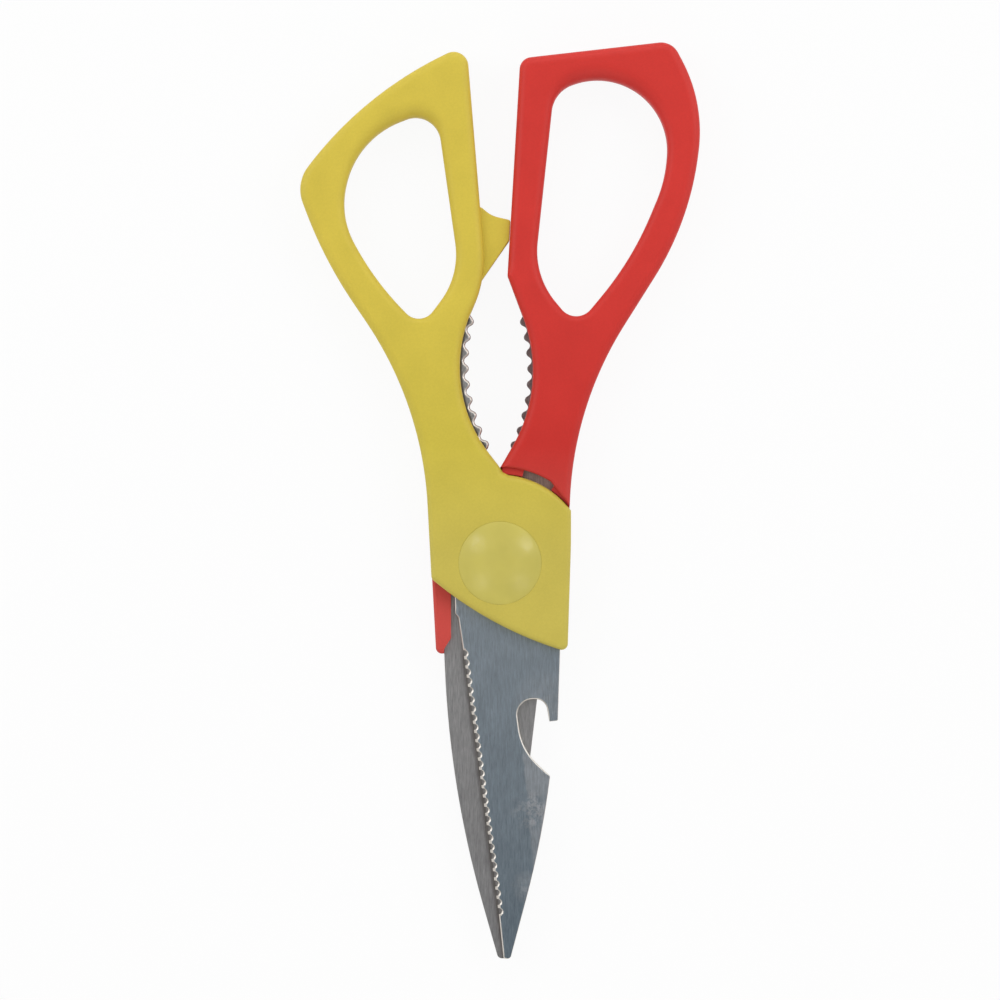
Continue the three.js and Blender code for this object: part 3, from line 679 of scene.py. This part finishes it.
def blade(name, outline, width):
    """Stamped blade, with its edge rolled over on the outer face and nearly square on the flat one."""
    bore = rounded(arc(BORE_RADIUS, 0, BORE_TURN))
    bore = (bore[0][::-1], bore[1])
    return closed(name, [
        walls(outline, BLADE_BOTTOM, BLADE_TOP, FLAT_EDGE, width), plain(bore, BLADE_BOTTOM, BLADE_TOP),
    ])


def edge_widths(points, sizes):
    """Rounding along the front blade's outline: wide on the jaw, less in the notch and on the edge."""
    x, y = points.T
    in_notch = (y > NOTCH_SPAN[0]) & (y < NOTCH_SPAN[1]) & (x < NOTCH_SIDE)
    width = np.where(in_notch | (x < EDGE_SIDE), sizes.rollover, sizes.rear_rollover)
    return np.where(y > JAW_START, sizes.jaw_rollover, width) / MM


def cutting_line(corners):
    """Start of a straight edge, its direction towards the tip and the direction into the blade."""
    heel, tip = (np.array(corner[:2]) for corner in corners)
    along = (tip - heel) / np.hypot(*(tip - heel))
    return heel, along, np.array([-along[1], along[0]])


def bevel(piece, line, start, end, width, depth):
    """Grinds a slope on the outer face along a cutting line, between two distances from its heel."""
    heel, along, inward = line
    corners = (
        (-width, BLADE_TOP - 2 * depth), (width, BLADE_TOP),
        (width, BLADE_TOP + PAST), (-width, BLADE_TOP + PAST),
    )
    ends = [[(*(heel + along * run + inward * x), z) for x, z in corners] for run in (start, end)]
    carve(piece, "DIFFERENCE", closed("bevel", [ends]))


def scallop(piece, sizes, finish):
    """Grinds the front blade's edge: a bevel, then round gullets with a slanted rim on the outer face."""
    heel, along, inward = line = cutting_line(SCALLOP_LINE)
    pitch, radius = sizes.scallop_pitch / MM, sizes.scallop_radius / MM
    rim, slope = sizes.scallop_rim / MM, sizes.edge_bevel / MM
    bevel(piece, line, 0, sizes.scallops * pitch, slope, slope)
    tree = scallop_tree()
    first = heel + along * pitch / 2
    through = BLADE_TOP - BLADE_BOTTOM + PAST
    for name, shift, top, bottom, foot, height in (
        ("gullets", inward * GULLET_INWARD, radius, radius, BLADE_BOTTOM - PAST / 2, through),
        ("rims", inward * RIM_INWARD + along * RIM_ALONG, radius + rim, radius - RIM_FOOT, BLADE_TOP - rim,
         rim + RIM_OVERLAP),
    ):
        mesh = grown(tree, {
            "Count": sizes.scallops, "Start": (*(first + shift) * MM, foot * MM),
            "Step": (*along * pitch * MM, 0.0), "Top": top * MM, "Bottom": bottom * MM,
            "Depth": height * MM, "Finish": finish,
        })
        tool = bpy.data.objects.new(name, mesh)
        bpy.context.scene.collection.objects.link(tool)
        carve(piece, "DIFFERENCE", tool)


def front_finish(face):
    """Number of a front blade face's finish: the brushed sheet, a ground edge or the jaw's sheared wall,
    painted dark as shade.
    """
    if abs(face.normal.z) < STEEP and face.center.y > JAW_START * MM:
        return 2
    return int(abs(face.normal.z) < FLAT)


def rear_finish(face):
    """Number of a rear blade face's finish: the brushed sheet or the bevel ground along its edge."""
    return int(BEVEL < abs(face.normal.z) < FLAT and face.center.y < 0)


def turn_over(piece):
    """Turns a half that was drawn with its outer face up into the rear half, with its outer face down."""
    piece.data.transform(Matrix.Translation((0, 0, THICKNESS * MM)) @ Matrix.Rotation(math.pi, 4, "Y"))


def hand_over(piece, finishes, body, node, choose=None):
    """Finishes a piece, face by face where there is a choice, marks its sharp edges, hides its solid and puts
    it in its body.
    """
    piece.data.materials.clear()
    for finish in finishes:
        piece.data.materials.append(finish)
    if choose:
        for face in piece.data.polygons:
            face.material_index = choose(face)
    piece.data.set_sharp_from_angle(angle=SHARP)
    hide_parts(node)
    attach(piece, body)


def surface(name, constants):
    """New material with its tree, its shader with the values that don't vary, and the place on the piece."""
    material = bpy.data.materials.new(name)
    material.use_nodes = True
    tree = material.node_tree
    shader = tree.nodes["Principled BSDF"]
    fill(tree, shader, constants)
    return material, tree, shader, put(tree, "ShaderNodeTexCoord").outputs["Object"]


def tone(tint, factor=1):
    """A colour made darker or paler, with its alpha."""
    return (*(min(1, c * factor) for c in tint), 1)


def moulded_plastic(name, loop, arm, boss):
    """Moulded ABS from a lightly textured tool: satin, fine grain, soft flow marks, and duller at the boss,
    which is partly painted shade.
    """
    material, tree, shader, place = surface(name, {"Roughness": 0.5, "IOR": 1.46, "Specular IOR Level": 0.3})
    # Change of tone from the boss, up the arm, to the loop: partly the plastic's own tone, partly painted
    # shade, darker towards the boss where less light falls
    where = put(tree, "ShaderNodeSeparateXYZ", {0: place}).outputs
    start, end = (height * MM for height in HANDLE_SPAN)
    climb = put(tree, "ShaderNodeMapRange", {"Value": where["Y"], "From Min": start, "From Max": end})
    base = put(tree, "ShaderNodeValToRGB", {"Fac": climb}, stops={
        0: tone(boss), 1: tone(loop), ARM_PLACE: tone(arm),
    })
    # Flow marks about 9 mm across
    flow = put(tree, "ShaderNodeTexNoise", {
        "Vector": place, "Scale": 1 / (9 * MM), "Detail": 3.0, "Roughness": 0.5,
    }).outputs["Fac"]
    # Tool grain, 0.1 mm on the real part, drawn at 0.45 mm so that it shows
    grain = put(tree, "ShaderNodeTexNoise", {
        "Vector": place, "Scale": 1 / (0.45 * MM), "Detail": 2.0, "Roughness": 0.6,
    }).outputs["Fac"]
    marks = put(tree, "ShaderNodeMapRange", {
        "Value": flow, "From Min": 0.3, "From Max": 0.7, "To Min": 0.96, "To Max": 1.03,
    })
    specks = put(tree, "ShaderNodeMapRange", {
        "Value": grain, "From Min": 0.3, "From Max": 0.7, "To Min": 0.97, "To Max": 1.03,
    })
    shade = put(tree, "ShaderNodeMath", {0: marks, 1: specks}, operation="MULTIPLY")
    plastic = put(tree, "ShaderNodeVectorMath", {0: base, "Scale": shade}, operation="SCALE")
    gloss = put(tree, "ShaderNodeMapRange", {
        "Value": flow, "From Min": 0.25, "From Max": 0.75, "To Min": 0.46, "To Max": 0.55,
    })
    bump = put(tree, "ShaderNodeBump", {"Height": grain, "Strength": 0.12, "Distance": 0.05 * MM})
    fill(tree, shader, {"Base Color": plastic, "Roughness": gloss, "Normal": bump})
    return material


def polished_plastic(name, tint):
    """Moulded ABS from a polished tool: glossy, with faint wear swirls and a slow change of tone."""
    material, tree, shader, place = surface(name, {"Roughness": 0.16, "IOR": 1.5})
    # Slow change of tone, about 6 mm across
    drift = put(tree, "ShaderNodeTexNoise", {
        "Vector": place, "Scale": 1 / (6 * MM), "Detail": 2.0,
    }).outputs["Fac"]
    # Rubbed marks about 1 mm across
    rubs = put(tree, "ShaderNodeTexNoise", {
        "Vector": place, "Scale": 1 / (1.1 * MM), "Detail": 4.0, "Distortion": 1.2,
    }).outputs["Fac"]
    shade = put(tree, "ShaderNodeValToRGB", {"Fac": drift}, stops={
        0.3: tone(tint, 0.94), 0.7: tone(tint, 1.05),
    })
    gloss = put(tree, "ShaderNodeMapRange", {
        "Value": rubs, "From Min": 0.35, "From Max": 0.7, "To Min": 0.12, "To Max": 0.26,
    })
    bump = put(tree, "ShaderNodeBump", {"Height": drift, "Strength": 0.06, "Distance": 0.2 * MM})
    fill(tree, shader, {"Base Color": shade, "Roughness": gloss, "Normal": bump})
    return material


def brushed_steel(name, tip, middle, upper, marks, face):
    """Belt-brushed stainless steel: short lines along the blade, dull patches, and tones that change along
    it, darker at the tip and on the rear jaw as painted shade.

    The marks, painted shade and light among them, are on its upper face only, at the height that face gives.
    """
    material, tree, shader, place = surface(name, {"Roughness": 0.38, "Metallic": 1.0})
    # Belt lines 0.05 mm wide on the real blade, drawn at 0.28 mm and some 3 mm long so that they show
    lengthwise = put(tree, "ShaderNodeMapping", {"Vector": place, "Scale": (1.0, 0.1, 1.0)})
    lines = put(tree, "ShaderNodeTexNoise", {
        "Vector": lengthwise, "Scale": 1 / (0.28 * MM), "Detail": 4.0, "Roughness": 0.7,
    }).outputs["Fac"]
    # Dull patches about 5 mm across
    patches = put(tree, "ShaderNodeTexNoise", {
        "Vector": place, "Scale": 1 / (5 * MM), "Detail": 5.0, "Roughness": 0.6,
    }).outputs["Fac"]
    # Change of tone from the tip, over the blade, to the tang; the darker tip and the darker, warmer rear jaw
    # are painted shade
    where = put(tree, "ShaderNodeSeparateXYZ", {0: place}).outputs
    start, end = (height * MM for height in BLADE_SPAN)
    climb = put(tree, "ShaderNodeMapRange", {"Value": where["Y"], "From Min": start, "From Max": end})
    base = put(tree, "ShaderNodeValToRGB", {"Fac": climb}, stops={
        0: tone(tip), 1: tone(upper), BLADE_PLACE: tone(middle),
    })
    # The marks, painted shade and light among them, show only near the upper face
    start, end = ((face - depth) * MM for depth in MARK_DEPTHS)
    outside = put(tree, "ShaderNodeMapRange", {"Value": where["Z"], "From Min": start, "From Max": end})
    marked = put(tree, "ShaderNodeMix", {
        "Factor": outside, 6: base, 7: marks(tree, place, base),
    }, data_type="RGBA").outputs[2]
    streak = put(tree, "ShaderNodeMapRange", {
        "Value": lines, "From Min": 0.3, "From Max": 0.7, "To Min": 0.72, "To Max": 1.28,
    })
    dull = put(tree, "ShaderNodeMapRange", {
        "Value": patches, "From Min": 0.3, "From Max": 0.7, "To Min": 0.93, "To Max": 1.07,
    })
    shade = put(tree, "ShaderNodeMath", {0: streak, 1: dull}, operation="MULTIPLY")
    steel = put(tree, "ShaderNodeVectorMath", {0: marked, "Scale": shade}, operation="SCALE")
    gloss = put(tree, "ShaderNodeMapRange", {
        "Value": lines, "From Min": 0.3, "From Max": 0.7, "To Min": 0.44, "To Max": 0.32,
    })
    bump = put(tree, "ShaderNodeBump", {"Height": lines, "Strength": 0.1, "Distance": 0.03 * MM})
    fill(tree, shader, {"Base Color": steel, "Roughness": gloss, "Normal": bump})
    return material


def front_marks_and_shadow(tree, place, base):
    """Marks on the front blade: a paler facet behind the opener's claw, smudges, and a painted shadow line
    along the arm's edge.
    """
    # Ragged border of the facet, which wanders by about 0.3 mm
    ragged = put(tree, "ShaderNodeTexNoise", {
        "Vector": place, "Scale": 1 / (2.2 * MM), "Detail": 4.0,
    }).outputs["Fac"]
    across = put(tree, "ShaderNodeVectorMath", {
        0: place, 1: (1.0, FACET_LEAN, 0.0),
    }, operation="DOT_PRODUCT").outputs["Value"]
    border = put(tree, "ShaderNodeMath", {
        0: ragged, 1: FACET_WANDER * MM, 2: across,
    }, operation="MULTIPLY_ADD")
    height = put(tree, "ShaderNodeSeparateXYZ", {0: place}).outputs["Y"]
    facet = 1.0
    for value, (start, end) in ((border, FACET_BORDER), *((height, ends) for ends in FACET_ENDS)):
        facet = put(tree, "ShaderNodeMapRange", {
            "Value": value, "From Min": start * MM, "From Max": end * MM, "To Max": facet,
        })
    # Smudges about 1.5 mm across: on the facet where it narrows, over the notch and near the tip
    smudge = put(tree, "ShaderNodeTexNoise", {
        "Vector": place, "Scale": 1 / (1.5 * MM), "Detail": 6.0, "Roughness": 0.7,
    }).outputs["Fac"]
    for x, y, wide, narrow, low, high in SMUDGES:
        away = put(tree, "ShaderNodeVectorMath", {
            0: place, 1: (x * MM, y * MM, BLADE_TOP * MM),
        }, operation="DISTANCE").outputs["Value"]
        near = put(tree, "ShaderNodeMapRange", {
            "Value": away, "From Min": wide * MM, "From Max": narrow * MM,
        })
        blotch = put(tree, "ShaderNodeMapRange", {
            "Value": smudge, "From Min": 0.43, "From Max": 0.57, "To Min": low, "To Max": high,
        })
        facet = put(tree, "ShaderNodeMath", {0: near, 1: blotch, 2: facet}, operation="MULTIPLY_ADD")
    share = put(tree, "ShaderNodeMath", {0: facet, 1: 0.55}, operation="MULTIPLY", use_clamp=True)
    rubbed = put(tree, "ShaderNodeMix", {
        "Factor": share, 6: base, 7: tone(linear(FACET_COLOUR)),
    }, data_type="RGBA").outputs[2]
    # A painted shadow line, where the arm's inner edge shades the steel, follows the arc of that edge
    x, y = ARM_HOLLOW["centre"]
    away = put(tree, "ShaderNodeVectorMath", {
        0: place, 1: (x * MM, y * MM, BLADE_TOP * MM),
    }, operation="DISTANCE").outputs["Value"]
    start, end = (ARM_HOLLOW["radius"] - gap for gap in SHADOW_LINE_SPAN)
    shadow_line = put(tree, "ShaderNodeMapRange", {
        "Value": away, "From Min": start * MM, "From Max": end * MM, "To Max": 0.75,
    })
    share = put(tree, "ShaderNodeMapRange", {
        "Value": height, "From Min": (JAW_START - 2) * MM, "From Max": JAW_START * MM, "To Max": shadow_line,
    })
    return put(tree, "ShaderNodeMix", {
        "Factor": share, 6: rubbed, 7: tone(linear(SHADOW_LINE_COLOUR)),
    }, data_type="RGBA").outputs[2]


def rear_painted_light(tree, place, base):
    """Painted light and shade on the rear blade: a painted shadow line by the other blade's edge, and a
    painted pool of warm light where the steel shows in the gap at the step.
    """
    heel, _, inward = cutting_line(SCALLOP_LINE)
    aside = -inward
    edge = float(heel @ aside)
    out = put(tree, "ShaderNodeVectorMath", {
        0: place, 1: (*aside, 0.0),
    }, operation="DOT_PRODUCT").outputs["Value"]
    height = put(tree, "ShaderNodeSeparateXYZ", {0: place}).outputs["Y"]
    flat = put(tree, "ShaderNodeVectorMath", {0: place, 1: (1.0, 1.0, 0.0)}, operation="MULTIPLY")
    away = put(tree, "ShaderNodeVectorMath", {0: flat}, operation="LENGTH").outputs["Value"]
    # A painted shadow line along the other blade's edge, fading towards the pivot
    line = [(out, edge + start, edge + end) for start, end in (SHADE_BEYOND, SHADE_WITHIN)]
    # A painted pool of warm light on the steel in the gap at the step, where the real steel lies in shade
    ring = [(away, start, end) for start, end in GAP_LIGHT_RADII]
    for limits, share, ease, tint in (
        (line + [(height, *SHADE_START)], 0.55, "SMOOTHSTEP", SHADE_COLOUR),
        (ring + [(height, *GAP_LIGHT_START)], 0.6, "LINEAR", GAP_LIGHT_COLOUR),
    ):
        for value, start, end in limits:
            share = put(tree, "ShaderNodeMapRange", {
                "Value": value, "From Min": start * MM, "From Max": end * MM, "To Max": share,
            }, interpolation_type=ease)
        base = put(tree, "ShaderNodeMix", {
            "Factor": share, 6: base, 7: tone(linear(tint)),
        }, data_type="RGBA").outputs[2]
    return base


def turned_steel(name, tint):
    """Steel turned on a lathe: fine rings about the pivot, brighter than the brushed blades."""
    material, tree, shader, place = surface(name, {"Roughness": 0.26, "Metallic": 1.0})
    # Tool rings 0.1 mm apart on the real parts, drawn at 0.35 mm so that they show
    rings = put(tree, "ShaderNodeTexWave", {
        "Vector": place, "Scale": 1 / (0.35 * MM * 20), "Distortion": 0.4, "Detail": 2.0,
    }, wave_type="RINGS", rings_direction="Z").outputs["Fac"]
    shade = put(tree, "ShaderNodeValToRGB", {"Fac": rings}, stops={
        0: tone(tint, 0.85), 1: tone(tint, 1.08),
    })
    gloss = put(tree, "ShaderNodeMapRange", {"Value": rings, "To Min": 0.32, "To Max": 0.2})
    bump = put(tree, "ShaderNodeBump", {"Height": rings, "Strength": 0.15, "Distance": 0.03 * MM})
    fill(tree, shader, {"Base Color": shade, "Roughness": gloss, "Normal": bump})
    return material


def ground_steel(name, tint):
    """Freshly ground or sheared stainless steel: fine specks of grit in place of the brushed lines; the
    sheared jaw wall's dark tone is painted shade.
    """
    material, tree, shader, place = surface(name, {"Roughness": 0.3, "Metallic": 1.0})
    # Grit marks, 0.05 mm on the real edges, drawn at 0.25 mm so that they show
    grit = put(tree, "ShaderNodeTexNoise", {
        "Vector": place, "Scale": 1 / (0.25 * MM), "Detail": 2.0,
    }).outputs["Fac"]
    shade = put(tree, "ShaderNodeValToRGB", {"Fac": grit}, stops={
        0: tone(tint, 0.85), 1: tone(tint, 1.1),
    })
    gloss = put(tree, "ShaderNodeMapRange", {"Value": grit, "To Min": 0.5, "To Max": 0.4})
    fill(tree, shader, {"Base Color": shade, "Roughness": gloss})
    return material


def paper(name, tint):
    """Matt white paper under the scissors, even and without a sheen."""
    material, tree, shader, place = surface(name, {"Roughness": 0.9, "Specular IOR Level": 0.1})
    # Cloudiness of the sheet, about 60 mm across
    cloud = put(tree, "ShaderNodeTexNoise", {
        "Vector": place, "Scale": 1 / (60 * MM), "Detail": 2.0,
    }).outputs["Fac"]
    shade = put(tree, "ShaderNodeValToRGB", {"Fac": cloud}, stops={0: tone(tint, 0.995), 1: tone(tint)})
    fill(tree, shader, {"Base Color": shade})
    # Seen directly or in a reflection, the sheet glows a little, which lifts it to white and thins the shadow
    path = put(tree, "ShaderNodeLightPath").outputs
    seen = path["Is Camera Ray"]
    for ray in ("Is Glossy Ray", "Is Transmission Ray"):
        seen = put(tree, "ShaderNodeMath", {0: seen, 1: path[ray]}, operation="MAXIMUM")
    share = put(tree, "ShaderNodeMath", {0: seen, 1: FLOOR_GLOW}, operation="MULTIPLY")
    glow = put(tree, "ShaderNodeEmission", {"Color": (1, 1, 1, 1), "Strength": 1.0})
    sheet = put(tree, "ShaderNodeMixShader", {0: share, 1: shader, 2: glow})
    fill(tree, tree.nodes["Material Output"], {"Surface": sheet})
    return material


class SCISSORS_OT_blades(bpy.types.Operator):
    """Stamped steel halves with their jaws, opener notch and scallops"""

    bl_idname = "scissors.blades"
    bl_label = "Blades"

    def execute(self, context):
        sizes, colours = context.scene.scissors_sizes, context.scene.scissors_colours
        ground = ground_steel("ground stainless steel", colours.ground_steel)
        # The jaw's sheared wall, its dark tone painted shade
        sheared = ground_steel("sheared stainless steel", colours.shaded_sheared_steel)
        steel = brushed_steel(
            "brushed stainless steel, front", colours.front_tip, colours.front_steel, colours.rear_steel,
            front_marks_and_shadow, BLADE_TOP,
        )
        outline = rounded(FRONT_TIP + OPENER_NOTCH + tang(FRONT_SPINE, FRONT_JAW, sizes) + FRONT_EDGE)
        front = blade("blade_front", outline, edge_widths(outline[0], sizes))
        scallop(front, sizes, ground)
        finishes = (steel, ground, sheared)
        hand_over(front, finishes, "front_half", "front_blade", front_finish)
        steel = brushed_steel(
            "brushed stainless steel, rear", colours.rear_tip, colours.rear_steel, colours.rear_jaw,
            rear_painted_light, THICKNESS - BLADE_BOTTOM,
        )
        outline = rounded(REAR_TIP + tang(REAR_SPINE, REAR_JAW, sizes) + REAR_EDGE)
        rear = blade("blade_rear", outline, sizes.rear_rollover / MM)
        bevel(
            rear, cutting_line(REAR_EDGE), REAR_BEVEL_HEEL, BLADE_REACH,
            sizes.rear_bevel / MM, sizes.rear_bevel_depth / MM,
        )
        turn_over(rear)
        hand_over(rear, (steel, ground), "rear_half", "rear_blade", rear_finish)
        return {"FINISHED"}


class SCISSORS_OT_handles(bpy.types.Operator):
    """Moulded handles with their loops, boss plates and stop nub"""

    bl_idname = "scissors.handles"
    bl_label = "Handles"

    def execute(self, context):
        sizes, colours = context.scene.scissors_sizes, context.scene.scissors_colours
        outline = rounded(FRONT_TIP + tang(FRONT_SPINE, FRONT_JAW, sizes) + REAR_EDGE)
        yellow = handle("handle_yellow", YELLOW_BOSS, YELLOW_LOOP, YELLOW_HOLE, outline, sizes)
        carve(yellow, "UNION", nub())
        finish = moulded_plastic(
            "moulded ABS, yellow", colours.yellow, colours.yellow_arm, colours.yellow_boss,
        )
        hand_over(yellow, [finish], "front_half", "yellow_handle")
        outline = rounded(REAR_TIP + tang(REAR_SPINE, REAR_JAW, sizes) + REAR_EDGE)
        red = handle("handle_red", RED_BOSS, RED_LOOP, RED_HOLE, outline, sizes)
        turn_over(red)
        finish = moulded_plastic("moulded ABS, red", colours.red, colours.red_arm, colours.red_boss)
        hand_over(red, [finish], "rear_half", "red_handle")
        return {"FINISHED"}


class SCISSORS_OT_caps(bpy.types.Operator):
    """Glossy caps that cover the ends of the pivot"""

    bl_idname = "scissors.caps"
    bl_label = "Caps"

    def execute(self, context):
        sizes, colours = context.scene.scissors_sizes, context.scene.scissors_colours
        for name, finish, dome, body, node, slot in (
            ("cap_front", polished_plastic("polished ABS, yellow", colours.yellow_cap), sizes.cap_dome / MM,
             "front_half", "front_cap", "yellow_cap"),
            ("cap_rear", polished_plastic("polished ABS, red", colours.red_cap), 0.0,
             "rear_half", "rear_cap", "red_cap"),
        ):
            profile = [(SPIGOT_INNER, CAP_HOLLOW), (SPIGOT_INNER, SPIGOT_END), (SPIGOT_OUTER, SPIGOT_END)]
            profile += [(SPIGOT_OUTER, CAP_UNDER), (CAP_RADIUS, CAP_UNDER)]
            for turn in np.linspace(0, math.pi / 2, CAP_EDGE_STEPS):
                back, drop = CAP_EDGE * (1 - math.cos(turn)), CAP_EDGE * (1 - math.sin(turn))
                profile.append((CAP_RADIUS - back, THICKNESS - drop))
            for share in np.linspace(*DOME_SPAN, DOME_RINGS):
                profile.append((CAP_RADIUS * share, THICKNESS + dome * (1 - share ** 2)))
            cap = turned(name, profile)
            if body == "rear_half":
                turn_over(cap)
            hand_over(cap, [finish], body, node)
        return {"FINISHED"}


class SCISSORS_OT_pivot(bpy.types.Operator):
    """Turned steel finish on the screw, nut and washers of the pivot"""

    bl_idname = "scissors.pivot"
    bl_label = "Pivot"

    def execute(self, context):
        finish = turned_steel("turned steel", context.scene.scissors_colours.pivot_steel)
        for node in ("pivot_screw", "pivot_nut", "spring_washer", "flat_washer"):
            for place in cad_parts[node].material_slots:
                place.material = finish
        return {"FINISHED"}


class SCISSORS_OT_stage(bpy.types.Operator):
    """Paper floor, soft studio light and the camera overhead"""

    bl_idname = "scissors.stage"
    bl_label = "Stage"

    def execute(self, context):
        scene = context.scene
        scene.view_settings.view_transform = "Standard"
        self.lay_floor(scene)
        self.hang_lamps(scene)
        self.light_world(scene)
        camera = bpy.data.cameras.new("camera")
        camera.lens, camera.sensor_width = LENS, SENSOR
        view = bpy.data.objects.new("camera", camera)
        view.location = Vector((0, VIEW_MIDDLE, VIEW_LEVEL + VIEW_WIDTH * LENS / SENSOR)) * MM
        scene.collection.objects.link(view)
        scene.camera = view
        return {"FINISHED"}

    def lay_floor(self, scene):
        half, under = FLOOR_HALF * MM, -FLOOR_DROP * MM
        corners = [(-half, -half, under), (half, -half, under), (half, half, under), (-half, half, under)]
        mesh = bpy.data.meshes.new("floor")
        mesh.from_pydata(corners, [], [range(4)])
        floor = bpy.data.objects.new("floor", mesh)
        mesh.materials.append(paper("matt paper", scene.scissors_colours.floor))
        scene.collection.objects.link(floor)

    def hang_lamps(self, scene):
        for name, azimuth, tilt, far, size, power in LAMPS:
            lamp = bpy.data.lights.new(name, "AREA")
            lamp.shape, lamp.size, lamp.energy = "DISK", size, power
            made = bpy.data.objects.new(name, lamp)
            tilt, turn = math.radians(tilt), math.radians(azimuth)
            aim = Vector((math.sin(tilt) * math.cos(turn), math.sin(tilt) * math.sin(turn), math.cos(tilt)))
            made.location = aim * far
            made.rotation_euler = aim.to_track_quat("Z", "Y").to_euler()
            scene.collection.objects.link(made)

    def light_world(self, scene):
        scene.world = bpy.data.worlds.new("studio")
        scene.world.use_nodes = True
        tree = scene.world.node_tree
        tree.nodes.clear()
        ray = put(tree, "ShaderNodeTexCoord").outputs["Generated"]
        height = put(tree, "ShaderNodeSeparateXYZ", {0: ray}).outputs["Z"]
        greys = {place: (grey, grey, grey, 1) for place, grey in SKY}
        sky = put(tree, "ShaderNodeValToRGB", {"Fac": height}, stops=greys)
        glow = put(tree, "ShaderNodeBackground", {"Color": sky})
        put(tree, "ShaderNodeOutputWorld", {"Surface": glow})


class VIEW3D_PT_scissors(bpy.types.Panel):
    """Sizes, colours and pieces of the scissors"""

    bl_label = "Kitchen scissors"
    bl_space_type = "VIEW_3D"
    bl_region_type = "UI"
    bl_category = "Scissors"

    def draw(self, context):
        for operator in OPERATORS:
            self.layout.operator(operator.bl_idname)
        for group in (context.scene.scissors_sizes, context.scene.scissors_colours):
            box = self.layout.box()
            for name in group.__annotations__:
                box.prop(group, name)


OPERATORS = (SCISSORS_OT_blades, SCISSORS_OT_handles, SCISSORS_OT_caps, SCISSORS_OT_pivot, SCISSORS_OT_stage)
CLASSES = (ScissorsSizes, ScissorsColours, *OPERATORS, VIEW3D_PT_scissors)


def register():
    for item in CLASSES:
        bpy.utils.register_class(item)
    bpy.types.Scene.scissors_sizes = PointerProperty(type=ScissorsSizes)
    bpy.types.Scene.scissors_colours = PointerProperty(type=ScissorsColours)


def unregister():
    del bpy.types.Scene.scissors_colours
    del bpy.types.Scene.scissors_sizes
    for item in reversed(CLASSES):
        bpy.utils.unregister_class(item)


def main():
    register()
    bpy.ops.scissors.blades()
    bpy.ops.scissors.handles()
    bpy.ops.scissors.caps()
    bpy.ops.scissors.pivot()
    bpy.ops.scissors.stage()


if __name__ == "__main__":
    main()
